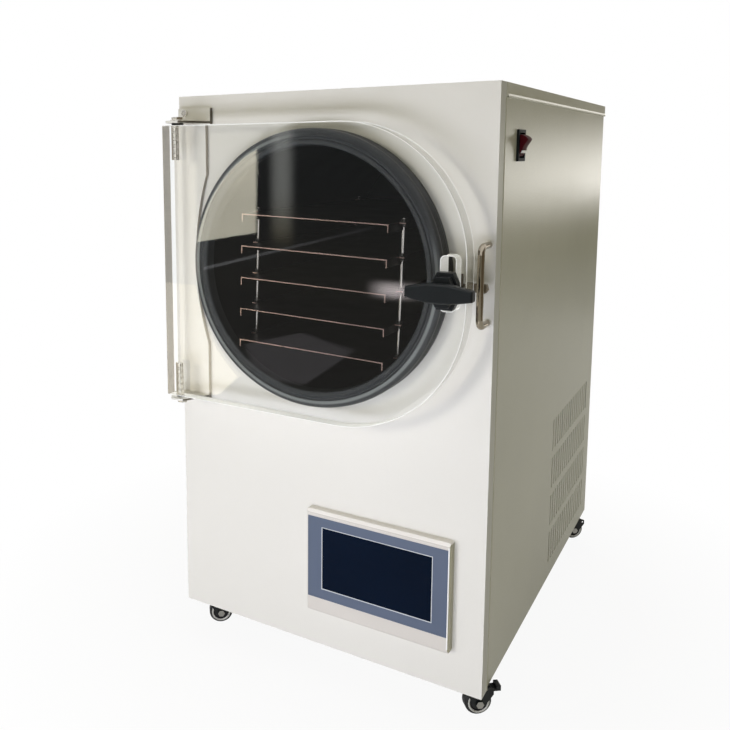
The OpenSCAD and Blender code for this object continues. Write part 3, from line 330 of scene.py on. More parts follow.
class Level:
    """A value that varies over a surface: sums on it add math nodes to its tree."""

    def __init__(self, tree, socket):
        self.tree = tree
        self.socket = socket

    def math(self, operation, other=0.0):
        """The outcome of a math node on this value and another one."""
        node = node_of(self.tree, "ShaderNodeMath", {0: self, 1: other}, operation=operation)
        return Level(self.tree, node.outputs[0])

    __add__ = functools.partialmethod(math, "ADD")
    __sub__ = functools.partialmethod(math, "SUBTRACT")
    __mul__ = functools.partialmethod(math, "MULTIPLY")
    __truediv__ = functools.partialmethod(math, "DIVIDE")
    __abs__ = functools.partialmethod(math, "ABSOLUTE")
    or_more = functools.partialmethod(math, "MAXIMUM")


def feed(tree, socket, value):
    """Links a socket to a level or to another socket, or sets it to a plain value."""
    if isinstance(value, Level):
        value = value.socket
    if isinstance(value, bpy.types.NodeSocket):
        tree.links.new(value, socket)
    else:
        socket.default_value = value


def fill(tree, node, values):
    """Feeds several inputs of a node, given by name or number."""
    for label, value in values.items():
        feed(tree, node.inputs[label], value)


def node_of(tree, kind, values, **settings):
    """A new node with its settings and some of its inputs given."""
    node = tree.nodes.new(kind)
    for key, value in settings.items():
        setattr(node, key, value)
    fill(tree, node, values)
    return node


def new_group(name, kind, result, outputs, inputs):
    """An empty node group; returns its tree, what its inputs give, and its end node."""
    tree = bpy.data.node_groups.new(name, kind)
    sockets = {int: "NodeSocketInt", float: "NodeSocketFloat", tuple: "NodeSocketVector"}
    for label, value in inputs.items():
        tree.interface.new_socket(
            name=label, in_out="INPUT", socket_type=sockets[type(value)]).default_value = value
    for label in outputs:
        tree.interface.new_socket(name=label, in_out="OUTPUT", socket_type=result)
    start, end = tree.nodes.new("NodeGroupInput"), tree.nodes.new("NodeGroupOutput")
    return tree, {socket.name: Level(tree, socket) for socket in start.outputs}, end


def place_of(tree):
    """The place on a piece, in its Object coordinates."""
    return tree.nodes.new("ShaderNodeTexCoord").outputs["Object"]


def xyz_of(tree):
    """The three coordinates of the place on a piece."""
    split = node_of(tree, "ShaderNodeSeparateXYZ", {0: place_of(tree)})
    return [Level(tree, socket) for socket in split.outputs]


def rays(tree, *labels):
    """What Light Path says of the ray, for each of the labels."""
    path = tree.nodes.new("ShaderNodeLightPath")
    return [Level(tree, path.outputs[label]) for label in labels]


def noise(tree, place, scale, detail):
    """A noise texture, drawn at a place."""
    texture = node_of(tree, "ShaderNodeTexNoise",
                      {"Vector": place, "Scale": scale, "Detail": detail})
    return Level(tree, texture.outputs["Fac"])


def stretched(tree, place, factors):
    """A place with each of its coordinates multiplied by its own factor."""
    return node_of(tree, "ShaderNodeVectorMath", {0: place, 1: factors},
                   operation="MULTIPLY").outputs[0]


def ramp(tree, value, start, end, low=0.0, high=1.0, smooth=False):
    """Runs from low to high while a value runs from start to end."""
    node = node_of(tree, "ShaderNodeMapRange", {
        "Value": value, "From Min": start, "From Max": end, "To Min": low, "To Max": high},
        interpolation_type="SMOOTHSTEP" if smooth else "LINEAR")
    return Level(tree, node.outputs["Result"])


def mixed(tree, share, one, two):
    """The colour at that share of the way from one colour to another."""
    return node_of(tree, "ShaderNodeMix", {"Factor": share, "A": one, "B": two},
                   data_type="RGBA").outputs["Result"]


def end_in_mix(tree, share, one, two, end="Material Output"):
    """Ends a tree in a mix of two shader nodes."""
    mix = node_of(tree, "ShaderNodeMixShader", {0: share, 1: one.outputs[0], 2: two.outputs[0]})
    feed(tree, tree.nodes[end].inputs["Surface"], mix.outputs[0])


def end_in_mesh(tree, shape, material, end):
    """Ends a geometry tree in real faces with their material."""
    solid = node_of(tree, "GeometryNodeRealizeInstances", {0: shape.outputs[0]})
    skin = node_of(tree, "GeometryNodeSetMaterial",
                   {"Geometry": solid.outputs[0], "Material": material})
    feed(tree, end.inputs[0], skin.outputs[0])


def grown(name, tree, values, at, angle):
    """A plain mesh that a geometry tree makes from those values, moved to its place."""
    obj = link(name, bpy.data.meshes.new(name))
    modifier = obj.modifiers.new("tree", "NODES")
    modifier.node_group = tree
    for socket in tree.interface.items_tree:
        if socket.in_out == "INPUT" and socket.name in values:
            modifier[socket.identifier] = values[socket.name]
    bake(obj)
    obj.data.transform(Matrix.Translation(at))
    soften(obj.data, angle)
    return obj


# ---------------------------------------------------------------- finishes


def effect_group(name, **inputs):
    """An empty shader group whose inputs are given by name, with the three usual outputs."""
    return new_group(name, "ShaderNodeTree", "NodeSocketFloat", ("Height", "Tone", "Gloss"),
                     {label.capitalize(): value for label, value in inputs.items()})


def coat_grain():
    """Wrinkle of a sprayed coat: fine orange peel over slow drift in tone and gloss.

    A factor of Squeeze below 1 draws the grain out along that axis.
    """
    tree, given, end = effect_group("Coat grain", grain=900.0, drift=6.0, contrast=1.0,
                                    squeeze=(1.0, 1.0, 1.0))
    place = place_of(tree)
    drawn = stretched(tree, place, given["Squeeze"])
    blot = node_of(tree, "ShaderNodeTexVoronoi", {"Vector": drawn, "Scale": given["Grain"] * 0.55},
                   feature="SMOOTH_F1")
    peel = noise(tree, drawn, given["Grain"], 3.0) * 0.6
    centred = peel + Level(tree, blot.outputs["Distance"]) * 0.55 - 0.5
    drift = noise(tree, place, given["Drift"], 4.0) - 0.5
    fill(tree, end, {"Height": centred * given["Contrast"],
                     "Tone": centred * 0.35 + drift * 0.9, "Gloss": centred * 0.5 + drift})
    return tree


def brushed_grain():
    """Drawn or brushed metal: fine streaks along one way, with slow smudges."""
    tree, given, end = effect_group("Brushed grain", streak=(60.0, 900.0, 900.0))
    place = place_of(tree)
    lines = noise(tree, stretched(tree, place, given["Streak"]), 1.0, 4.0) - 0.5
    marks = noise(tree, place, 22.0, 5.0) - 0.5
    fill(tree, end, {"Height": lines, "Tone": lines + marks * 0.5, "Gloss": lines * 0.4 + marks})
    return tree


def moulded_grain():
    """Spark-eroded grain of moulded plastic and rubber, with a trace of dust."""
    tree, given, end = effect_group("Moulded grain", grain=2600.0, dust=14.0)
    place = place_of(tree)
    grain = noise(tree, place, given["Grain"], 2.0) - 0.5
    film = noise(tree, place, given["Dust"], 6.0) - 0.45
    fill(tree, end, {"Height": grain, "Tone": grain * 0.3 + film, "Gloss": grain * 0.5 + film})
    return tree


@functools.cache
def effect(kind):
    """The shared effect group of that kind, built once."""
    return {"coat": coat_grain, "brushed": brushed_grain, "moulded": moulded_grain}[kind]()


def new_material(name):
    """A material; returns it with its tree and its main shader."""
    mat = bpy.data.materials.new(name)
    mat.use_nodes = True
    return mat, mat.node_tree, mat.node_tree.nodes["Principled BSDF"]


def finish(name, colour, kind, rough, play=0.08, tone=0.08, depth=0.02, metallic=0.0, coat=0.0,
           specular=0.5, **values):
    """A surface material: one shared effect feeds its tone, gloss and fine relief.

    Play is how far the roughness strays, depth the relief in mm, values the effect's own.
    """
    mat, tree, shader = new_material(name)
    grain = node_of(tree, "ShaderNodeGroup", {}, node_tree=effect(kind))
    fill(tree, grain, {label.capitalize(): value for label, value in values.items()})
    dark = [c * (1 - tone) for c in colour[:3]] + [1.0]
    light = [min(1.0, c * (1 + tone)) for c in colour[:3]] + [1.0]
    share = Level(tree, grain.outputs["Tone"]) + 0.5
    bump = node_of(tree, "ShaderNodeBump", {
        "Strength": 0.6, "Distance": depth * MM, "Height": grain.outputs["Height"]})
    fill(tree, shader, {
        "Base Color": mixed(tree, share, dark, light),
        "Roughness": ramp(tree, grain.outputs["Gloss"], -0.4, 0.4, max(0.02, rough - play),
                          rough + play),
        "Normal": bump.outputs["Normal"], "Metallic": metallic, "Specular IOR Level": specular,
        "Coat Weight": coat, "Coat Roughness": 0.1})
    return mat


def paint_over(mat, mask, colour):
    """Lays a colour over a material's own one, where the mask says so."""
    tree = mat.node_tree
    base = tree.nodes["Principled BSDF"].inputs["Base Color"]
    feed(tree, base, mixed(tree, mask, base.links[0].from_socket, colour))


def clear_acrylic(name):
    """Clear cast acrylic: true refraction for the eye, open to shadow and bounce rays."""
    mat, tree, shader = new_material(name)
    film = noise(tree, place_of(tree), 9.0, 6.0)
    fill(tree, shader, {"Base Color": (0.985, 0.995, 0.99, 1.0), "Transmission Weight": 1.0,
                        "IOR": 1.49, "Roughness": ramp(tree, film, 0.35, 0.75, 0.0, 0.03)})
    shadow, bounce = rays(tree, "Is Shadow Ray", "Is Diffuse Ray")
    # Light that falls through the slab turns a little warm, light that bounces a little cool
    tint = mixed(tree, shadow, (0.985, 0.99, 0.985, 1.0), (0.99, 0.985, 0.97, 1.0))
    open_air = node_of(tree, "ShaderNodeBsdfTransparent", {"Color": tint})
    end_in_mix(tree, shadow.or_more(bounce), shader, open_air)
    return mat


def polished_acrylic(name, colour, alpha, rough, shade, glow):
    """Sawn or polished acrylic edge: a pale veil with fine saw marks, partly the edge's own
    frosting and partly painted highlight, with a painted glow as if lit from within.
    """
    mat = finish(name, colour, "brushed", rough, 0.08, 0.14, 0.01, specular=0.35,
                 streak=(900.0, 12.0, 900.0))
    tree = mat.node_tree
    dense = rays(tree, "Is Shadow Ray")[0] * shade
    fill(tree, tree.nodes["Principled BSDF"], {
        "Alpha": dense.or_more(alpha), "Emission Color": colour, "Emission Strength": glow})
    return mat


# ---------------------------------------------------------------- outlines


def arc(middle, radius, start, end, steps):
    """Points along an arc, from one angle in degrees to another."""
    for k in range(steps + 1):
        a = math.radians(start + (end - start) * k / steps)
        yield middle[0] + radius * math.cos(a), middle[1] + radius * math.sin(a)


def rectangle(lo, hi):
    """The corners of a standing or lying rectangle, from two opposite ones."""
    p, q = [axis for axis in range(3) if lo[axis] != hi[axis]]
    corners = []
    for one, two in ((lo, lo), (hi, lo), (hi, hi), (lo, hi)):
        corner = list(lo)
        corner[p], corner[q] = one[p], two[q]
        corners.append(corner)
    return corners


# ---------------------------------------------------------------- operators


class DRYER_OT_stage(bpy.types.Operator):
    """Pale floor, soft lamps, white room and the camera"""

    bl_idname = "dryer.stage"
    bl_label = "Studio"

    def lamp(self, name, at, aim, size, watts, colour=(1.0, 0.99, 0.97)):
        """A soft lamp that no ray sees."""
        data = bpy.data.lights.new(name, "AREA")
        data.shape = "RECTANGLE"
        data.size, data.size_y = size
        data.energy = watts
        data.color = colour
        obj = link(name, data)
        obj.location = at
        obj.rotation_euler = (Vector(aim) - Vector(at)).to_track_quat("-Z", "Y").to_euler()
        obj.visible_camera = obj.visible_glossy = obj.visible_transmission = False

    def camera(self, context, lens):
        """The camera: its place in the frame, its heading, dip and lean."""
        heading, dip, lean = (math.radians(a) for a in (32.03, 7.66, -0.31))
        data = bpy.data.cameras.new("camera")
        data.sensor_width = 36.0
        data.lens = lens
        data.shift_x, data.shift_y = 0.1364, -0.1383
        data.clip_start = 0.01
        camera = link("camera", data)
        turn = Matrix.Rotation(heading, 4, "Z") @ Matrix.Rotation(math.pi / 2 - dip, 4, "X")
        camera.matrix_world = Matrix.Translation(EYE) @ turn @ Matrix.Rotation(lean, 4, "Z")
        context.scene.camera = camera

    def floor(self):
        """Floor that is white to the eye and takes the dryer's soft shadow."""
        bm = bmesh.new()
        bmesh.ops.create_circle(bm, cap_ends=True, segments=64, radius=14.0)
        floor = mesh_object("floor", bm)
        mat, tree, shader = new_material("studio_floor")
        fill(tree, shader, {"Base Color": (0.86, 0.855, 0.84, 1.0), "Roughness": 0.75})
        glow = node_of(tree, "ShaderNodeEmission", {"Color": WHITE, "Strength": 1.0})
        away = node_of(tree, "ShaderNodeVectorMath", {0: place_of(tree)},
                       operation="LENGTH").outputs["Value"]
        eye, gloss, through = rays(tree, "Is Camera Ray", "Is Glossy Ray", "Is Transmission Ray")
        mirrored = gloss * ramp(tree, away, 2.5, 6.0, 0.25, 0.02)
        white = eye.or_more(mirrored.or_more(through)) * ramp(tree, away, 0.36, 0.72, 0.93, 1.0)
        end_in_mix(tree, white, shader, glow)
        floor.data.materials.append(mat)

    def room(self, context, air):
        """A white room for eye and mirror, and a dimmer warm one for the light it gives."""
        world = bpy.data.worlds.new("room")
        context.scene.world = world
        world.use_nodes = True
        tree = world.node_tree
        dim = tree.nodes["Background"]
        fill(tree, dim, {"Color": (1.0, 0.95, 0.56, 1.0), "Strength": air})
        white = node_of(tree, "ShaderNodeBackground", {"Color": WHITE})
        eye, gloss, through = rays(tree, "Is Camera Ray", "Is Glossy Ray", "Is Transmission Ray")
        end_in_mix(tree, eye.or_more(gloss.or_more(through)), dim, white, "World Output")

    def board(self, name, corners, low, high=None, strength=1.0, span=(0.0, 1.0), soft=()):
        """A board that only reflections see, shaded from its low to its high colour.

        Span gives the heights of the two colours. Soft names an axis along which the board
        fades, with the middle, the reach and the share of the reach that stays whole.
        """
        bm = bmesh.new()
        bm.faces.new([bm.verts.new(corner) for corner in corners])
        obj = link(name, mesh_of(name, bm))
        mat, tree, shader = new_material(name)
        tree.nodes.remove(shader)
        place = dict(zip("XYZ", xyz_of(tree)))
        share = ramp(tree, place["Z"], *span, smooth=True)
        colour = mixed(tree, share, (*low, 1.0), (*(high or low), 1.0))
        glow = node_of(tree, "ShaderNodeEmission", {"Color": colour, "Strength": strength})
        clear = tree.nodes.new("ShaderNodeBsdfTransparent")
        # Also seen by what the door's back face mirrors, but not straight through the door
        gloss, through, depth = rays(tree, "Is Glossy Ray", "Is Transmission Ray", "Ray Depth")
        seen = gloss.or_more(through * depth.math("GREATER_THAN", 2.5))
        for axis, middle, reach, core in soft:
            seen *= ramp(tree, abs(place[axis] - middle), reach * core, reach, 1.0, 0.0, True)
        end_in_mix(tree, seen, clear, glow)
        obj.data.materials.append(mat)
        obj.visible_camera = obj.visible_diffuse = obj.visible_shadow = False
        obj.visible_volume_scatter = False

    def mirrored(self, points, wall=None):
        """Where the door's front face mirrors points of its own: on a wall's y, or the floor.

        The points are given in mm from the middle of the gasket, across and up.
        """
        places = []
        for across, up in points:
            door = Vector((SEAL_X + across * MM, DOOR_LO.y, AXIS_Z + up * MM))
            way = (door - EYE) * Vector((1, -1, 1))
            reach = (FLOOR_BOARD - door.z) / way.z if wall is None else (wall - door.y) / way.y
            places.append(door + way * reach)
        return places

    def seal_line(self, start, end):
        """The gasket's round side as it shows through the door, in mm from its middle."""
        seen_middle = (12, -8)
        return arc(seen_middle, SEAL_R / MM, start, end, 12)

    def pane(self, name, low, high, wall, colours, strength, span=(0.0, 1.0), **cores):
        """A soft upright board, from two of its corners as the door mirrors them."""
        a, b = self.mirrored((low, high), wall)
        soft = []
        for axis, core in cores.items():
            one, two = (corner["XYZ".index(axis)] for corner in (a, b))
            soft.append((axis, (one + two) / 2, abs(two - one) / 2, core))
        self.board(name, rectangle((a.x, wall, a.z), (b.x, wall, b.z)), *colours, strength, span,
                   soft)

    def boards(self, opts):
        """The room as door and sides mirror it: dark, with a bright wall and a window."""
        # Three walls, each a little nearer than the one behind it
        far, middle, near = -2.99, -2.98, -2.97
        self.board("board_dark", rectangle((-2.75, far, 0.0), (-0.42, far, 1.1)),
                   (0.17, 0.165, 0.15), (0.13, 0.135, 0.135), 1.0, (0.0, 0.6))
        # What the door mirrors ends where its gasket begins, so this wall has a curved side
        wall = ((-67, 45), *self.seal_line(168, 116))
        self.board("board_wall", self.mirrored(wall, middle), (0.78, 0.74, 0.6),
                   (1.0, 0.94, 0.76), opts.wall, (0.42, 0.74))
        self.pane("board_band", (-52, 20), (-6, 202), middle,
                  ((0.5, 0.46, 0.34), (1.0, 1.02, 0.97)), 1.35, (0.26, 0.58), X=0.15, Z=0.6)
        sill = ((-150, -8.5), (94, 57), (94, 60), (-150, -4.5))
        self.board("board_sill", self.mirrored(sill, near), (0.8, 0.8, 0.82),
                   (0.25, 0.25, 0.26), 1.0, (0.16, 0.34))
        pink = (1.0, 0.9, 0.9)
        self.pane("board_glow", (83, -27), (162, 0), near, (pink, pink), 5.0, X=0.05, Z=0.05)
        lit_floor = ((-222, 28), *self.seal_line(168, 232), (-130, -177), (-233, -193))
        self.board("board_near", self.mirrored(lit_floor), (1.0, 0.9, 0.7), strength=3.0)
        rug = ((-86, -102), (-1, -77), (71, -92), (2, -144), (-42, -144), (-76, -128))
        self.board("board_rug", self.mirrored(rug), (0.44, 0.42, 0.43))
        self.pane("board_post", (-201, -31), (-154, 186), middle,
                  ((1.0, 0.92, 0.78), (1.0, 0.92, 0.8)), 2.1, X=0.5)
        self.board("board_side", rectangle((2.4, -3.0, 0.0), (2.4, 1.5, 2.2)),
                   (0.16, 0.13, 0.09))
        self.board("board_mat", rectangle((-3.4, -3.1, 0.003), (-0.36, -1.1, 0.003)),
                   (0.16, 0.155, 0.145))
        window = ((0.2, 6.0, 0.48), (2.9, 6.0, 0.03), (3.4, 6.0, 4.0), (0.2, 6.0, 4.0))
        self.board("board_window", window, (1.0, 0.97, 0.9), (0.17, 0.16, 0.135), opts.window,
                   (0.5, 1.12))

    def execute(self, context):
        opts = context.scene.dryer_stage
        self.camera(context, opts.lens)
        self.floor()
        self.room(context, opts.air)
        self.boards(opts)
        self.lamp("low_lamp", (-0.05, -1.4, 0.16), (0.0, -0.29, 0.18), (1.6, 0.4), opts.low,
                  (0.86, 0.885, 1.03))
        self.lamp("key_lamp", (-0.78, -2.39, 0.98), (0.0, -0.29, 0.45), (0.45, 0.45), opts.key,
                  (1.0, 0.955, 0.85))
        self.lamp("top_lamp", (0.1, -0.3, 2.2), (0.0, 0.0, 0.5), (1.2, 1.2), opts.top)
        self.lamp("back_lamp", (-0.4, 2.3, 1.3), (0.0, 0.3, 0.5), (1.4, 1.2), opts.back)
        context.scene.view_settings.view_transform = "Standard"
        return {"FINISHED"}


class DRYER_OT_cabinet(bpy.types.Operator):
    """Powder coat, folded edges and slots of the cabinet"""

    bl_idname = "dryer.cabinet"
    bl_label = "Cabinet"

    def hem(self):
        """The folded hem under the right lip of the top cover, leaning in a little below."""
        lo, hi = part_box("top_cover")
        # The section in mm, across and up from a point near the lip's lower edge
        x, z = hi.x - 1.4 * MM, lo.z + 1.3 * MM
        line = ((-0.6, 3.6), (1.6, 3.1), (1.55, 2.7), (0.95, -0.3), (0.6, -1.0), (-0.6, -1.2))
        rows = [[(x + a * MM, y, z + b * MM) for a, b in line]
                for y in (PANEL_HI.y + 5.8 * MM, hi.y - 0.4 * MM)]
        # A paler, glossier copy of the coat: painted highlight along the hem
        pale = finish("hem_painted_highlight", rgb(250, 246, 236), "coat", 0.12, 0.03, 0.03, 0.01,
                      grain=700.0, drift=9.0, contrast=0.5)
        coat_piece(rows_object("cover_hem", rows, angle=20), pale, "cabinet")

    def seam_beads(self):
        """The rounded edge in which the front panel's folds end, on both sides."""
        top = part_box("top_cover")[0].z
        for label, x, sign in (("left", PANEL_LO.x, -1), ("right", PANEL_HI.x, 1)):
            line = [(x + sign * b * MM, PANEL_HI.y - a * MM)
                    for a, b in arc((1.0, -0.3), 1.0, 0, 180, 8)]
            rows = [[(*point, z) for point in line]
                    for z in (PANEL_LO.z + 0.6 * MM, top - 0.5 * MM)]
            # The beads take a darker copy of the coat: painted shade that draws the seam line
            edge = finish("seam_painted_shade_" + label, rgb(196, 192, 172), "coat", 0.4, 0.06, 0.04,
                          grain=600.0, contrast=0.6)
            coat_piece(rows_object("seam_bead_" + label, rows, angle=20), edge, "cabinet")

    def screw_tree(self, steel):
        """Geometry tree: a row of pan-head screws."""
        tree, given, end = new_group(
            "Screw row", "GeometryNodeTree", "NodeSocketGeometry", ("Geometry",),
            {"Count": 6, "Radius": 3.6 * MM, "Spacing": 0.1})
        step = node_of(tree, "ShaderNodeCombineXYZ", {"Z": given["Spacing"]})
        line = node_of(tree, "GeometryNodeMeshLine",
                       {"Count": given["Count"], "Offset": step.outputs[0]})
        head = node_of(tree, "GeometryNodeMeshCone", {
            "Vertices": 28, "Side Segments": 3, "Radius Bottom": given["Radius"],
            "Radius Top": given["Radius"] * 0.62, "Depth": given["Radius"] * 0.5})
        row = node_of(tree, "GeometryNodeInstanceOnPoints", {
            "Points": line.outputs[0], "Instance": head.outputs["Mesh"],
            "Rotation": (-math.pi / 2, 0.0, 0.0)})
        end_in_mesh(tree, row, steel, end)
        return tree

    def screws(self, steel, d):
        """Pan-head screws down both sides of the rear panel."""
        tree = self.screw_tree(steel)
        lo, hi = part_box("rear_panel")
        inset, margin = 13 * MM, 35 * MM
        spacing = (hi.z - lo.z - 2 * margin) / (d.rear_screws - 1)
        for label, x in (("left", lo.x + inset), ("right", hi.x - inset)):
            obj = grown("rear_screws_" + label, tree,
                        {"Count": d.rear_screws, "Radius": d.screw_head, "Spacing": spacing},
                        (x, hi.y, lo.z + margin), 40)
            coat_piece(obj, steel, "cabinet")

    def paint_slab_glow(self, mat, pale):
        """Pales a material between the door's lower and upper edge: painted glow where the slab's
        sheen lies over it.
        """
        z = xyz_of(mat.node_tree)[2]
        paint_over(mat, z.math("LESS_THAN", DOOR_HI.z) * z.math("GREATER_THAN", DOOR_LO.z), pale)

    def execute(self, context):
        c, d = context.scene.dryer_finish, context.scene.dryer_detail
        front = finish("powder_coat_front", c.coat, "coat", 0.34, 0.05, 0.02, grain=700.0,
                       drift=5.0, contrast=0.6)
        side = finish("powder_coat_side", rgb(226, 224, 209), "coat", 0.14, 0.06, 0.1, 0.35,
                      drift=4.0, squeeze=(1.0, 0.8, 1.0))
        dress("front_panel", front, d.edge * 1.6)
        plate = dress("hinge_plate", front, d.edge)
        # The plate's right edge gets a dark colour, painted shade; behind the door a paler painted
        # glow replaces it
        painted_edge_shade = finish("plate_edge_painted_shade", rgb(104, 98, 86), "coat", 0.5)
        self.paint_slab_glow(painted_edge_shade, rgb(186, 178, 166))
        least_area = 2 * MM * MM
        coat_faces(plate, painted_edge_shade, lambda face: face.normal.x > 0.6 and face.area > least_area)
        dress("rear_panel", side, d.edge * 0.5, 1)
        dress("top_cover", side, d.edge * 0.7)
        # The walls of the air slots get a dull, dark copy of the coat: painted shade inside the
        # slots
        shade = finish("slot_wall", rgb(66, 62, 51), "coat", 0.5, 0.1, 0.1, grain=700.0,
                       drift=9.0)
        rim, crown = 20 * MM, 40 * MM
        for node in ("left_panel", "right_panel"):
            lo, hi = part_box(node)
            coat_faces(dress(node, side, d.edge), shade, lambda face: (
                lo.y + rim < face.center.y < hi.y - rim
                and lo.z + rim < face.center.z < hi.z - crown and abs(face.normal.x) < 0.3))
        self.hem()
        self.seam_beads()
        steel = finish("galvanised_steel", rgb(150, 150, 148), "brushed", 0.45, 0.1, 0.12,
                       metallic=1.0)
        self.screws(steel, d)
        paint(("frame", "deck", "saddles", "control_box", "base_pan"), steel)
        paint(("jacket",), finish("insulation_foam", rgb(40, 40, 41), "moulded", 0.8,
                                  depth=0.3, grain=500.0, dust=20.0))
        return {"FINISHED"}


class DRYER_OT_chamber(bpy.types.Operator):
    """Vacuum chamber, cold coil and door gasket"""

    bl_idname = "dryer.chamber"
    bl_label = "Chamber and gasket"

    def paint_ring_sheen(self, mat, radius):
        """Painted highlight: a bright ring on the gasket, left out at the upper right, where
        painted shade darkens its rim.
        """
        tree = mat.node_tree
        x, _, z = xyz_of(tree)
        x, z = x - SEAL_X, z - AXIS_Z
        r = (x * x + z * z).math("SQRT")
        dark_way = math.radians(55)
        lean = (x * math.cos(dark_way) + z * math.sin(dark_way)) / r
        rim = (ramp(tree, r, radius - 4 * MM, radius, smooth=True)
               * ramp(tree, lean, 0.5, 0.85, smooth=True))
        ring = (ramp(tree, abs(r - radius), 0.8 * MM, 3.2 * MM, 1.0, 0.0, True)
                * ramp(tree, lean, 0.5, 0.85, 1.0, 0.0, True))
        paint_over(mat, rim, rgb(32, 34, 36))
        paint_over(mat, ring, rgb(116, 120, 120))

    def execute(self, context):
        c = context.scene.dryer_finish
        dress("vacuum_chamber", finish(
            "chamber_lining", c.lining, "brushed", 0.32, 0.06, 0.3, 0.004, specular=0.25,
            streak=(400.0, 30.0, 400.0)))
        silicone = finish("gasket_silicone", c.silicone, "moulded", 0.32, 0.1, 0.3, 0.03,
                          grain=1500.0, dust=16.0)
        # How far inside the gasket's outer edge the painted highlight ring lies
        ring_inset = 7.5 * MM
        self.paint_ring_sheen(silicone, SEAL_R - ring_inset)
        dress("door_gasket", silicone, angle=40.0)
        paint(("cold_coil",), finish("coil_copper", c.copper, "brushed", 0.3, metallic=1.0))
        tube = finish("pipe_steel", rgb(196, 194, 190), "brushed", 0.25, metallic=1.0,
                      streak=(700.0, 40.0, 700.0))
        dress_all(("vacuum_pipe", "drain_pipe"), tube)
        return {"FINISHED"}


class DRYER_OT_rack(bpy.types.Operator):
    """Shelves, rods, nuts, runners and heater mats"""

    bl_idname = "dryer.rack"
    bl_label = "Shelf rack"

    def execute(self, context):
        c = context.scene.dryer_finish
        drawn = (50.0, 700.0, 700.0)
        alloy = finish("shelf_alloy", c.shelf, "brushed", 0.3, 0.08, 0.1, metallic=0.9,
                       streak=drawn)
        flat = finish("shelf_face", rgb(58, 50, 48), "brushed", 0.36, 0.08, 0.1, 0.006,
                      metallic=0.9, streak=drawn)
        # Tops and sides of each shelf take a darker copy of the alloy: painted shade
        for index in range(1, 6):
            coat_faces(dress("shelf_%d" % index, alloy, THIN_EDGE, 1), flat,
                       lambda face: max(abs(face.normal.z), abs(face.normal.x)) > 0.7)
        dress("rack_rods", finish("rack_steel", rgb(206, 202, 200), "brushed", 0.2, 0.05,
                                  metallic=1.0))
        dull = finish("rack_dull", rgb(62, 60, 58), "brushed", 0.4, 0.05, metallic=0.6)
        dress_all(("rack_clips", "rack_rails"), dull)
        paint(("heater_mats",), finish("heater_rubber", rgb(34, 26, 24), "moulded", 0.6,
                                       grain=900.0, dust=10.0))
        return {"FINISHED"}


class DRYER_OT_door(bpy.types.Operator):
    """Clear acrylic door with its slot and polished edges"""

    bl_idname = "dryer.door"
    bl_label = "Door"

    def outline(self, corner):
        """The door's outline: square on the hinge side, two large rounds on the other."""
        lo, hi = DOOR_LO, DOOR_HI
        x = hi.x - corner
        return [(lo.x, hi.z), (lo.x, lo.z), *arc((x, lo.z + corner), corner, -90, 0, 72),
                *arc((x, hi.z - corner), corner, 0, 90, 72)]

    def slot_line(self, middle, width, height, r):
        """The slot's outline, a rectangle with round corners."""
        points = []
        for sx, sz, start in ((1, 1, 0), (-1, 1, 90), (-1, -1, 180), (1, -1, 270)):
            corner = (middle[0] + sx * (width / 2 - r), middle[1] + sz * (height / 2 - r))
            points += arc(corner, r, start, start + 90, 10)
        return points

    def slab(self, outlines, bevel):
        """The slab between the door's front and back, with its edges bevelled."""
        bm = bmesh.new()
        edges = []
        for points in outlines:
            verts = [bm.verts.new((x, DOOR_LO.y, z)) for x, z in points]
            edges += [bm.edges.new((one, two)) for one, two in zip(verts, verts[1:] + verts[:1])]
        bmesh.ops.triangle_fill(bm, use_beauty=True, edges=edges)
        bmesh.ops.dissolve_limit(bm, angle_limit=0.01, verts=[], edges=bm.edges)
        grown_faces = bmesh.ops.extrude_face_region(bm, geom=bm.faces[:])
        back = [part for part in grown_faces["geom"] if isinstance(part, bmesh.types.BMVert)]
        bmesh.ops.translate(bm, verts=back, vec=(0, DOOR_HI.y - DOOR_LO.y, 0))
        door = mesh_object("door_slab", bm)
        bevel_edges(door, bevel, 2, 40)
        soften(door.data, 30)
        level_flats(door)
        return door

    def execute(self, context):
        shaft_lo, shaft_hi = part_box("latch_shaft")
        middle = ((shaft_lo.x + shaft_hi.x) / 2, AXIS_Z)
        corner, slot_width, slot_height, slot_round = 162 * MM, 17 * MM, 62 * MM, 5 * MM
        slot = self.slot_line(middle, slot_width, slot_height, slot_round)
        door = self.slab((self.outline(corner), slot[::-1]),
                         context.scene.dryer_detail.door_edge)
        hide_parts("door_panel")
        coat_piece(door, clear_acrylic("door_acrylic"), "door")
        white = rgb(252, 252, 248)
        face_of, wall, bevel, sawn, lower, slot_wall = range(6)
        # White veils and glow on the bevel, lower face and slot walls are painted highlights; the
        # lower face's strong glow paints a bright band
        for name, colour, alpha, rough, shade, glow in (
                ("acrylic_wall", rgb(246, 245, 238), 0.22, 0.3, 0.95, 0.0),
                ("acrylic_bevel", white, 0.95, 0.2, 0.6, 0.12),
                ("acrylic_sawn", rgb(196, 186, 170), 0.85, 0.4, 0.2, 0.0),
                ("acrylic_lower", white, 0.9, 0.2, 0.5, 0.45),
                ("acrylic_slot", white, 0.85, 0.2, 0.5, 0.25)):
            door.data.materials.append(polished_acrylic(name, colour, alpha, rough, shade, glow))
        # How near the slot's middle all of its walls lie
        near_x, near_z = slot_width / 2 + 3.5 * MM, slot_height / 2 + 5 * MM
        for face in door.data.polygons:
            n, mid = face.normal, face.center
            if abs(n.y) > 0.98:
                face.material_index = face_of
            elif abs(mid.x - middle[0]) < near_x and abs(mid.z - middle[1]) < near_z:
                face.material_index = slot_wall
            elif n.x < -0.3:
                face.material_index = sawn
            elif abs(n.y) > 0.1:
                face.material_index = bevel
            else:
                face.material_index = lower if n.z < -0.7 else wall
        return {"FINISHED"}


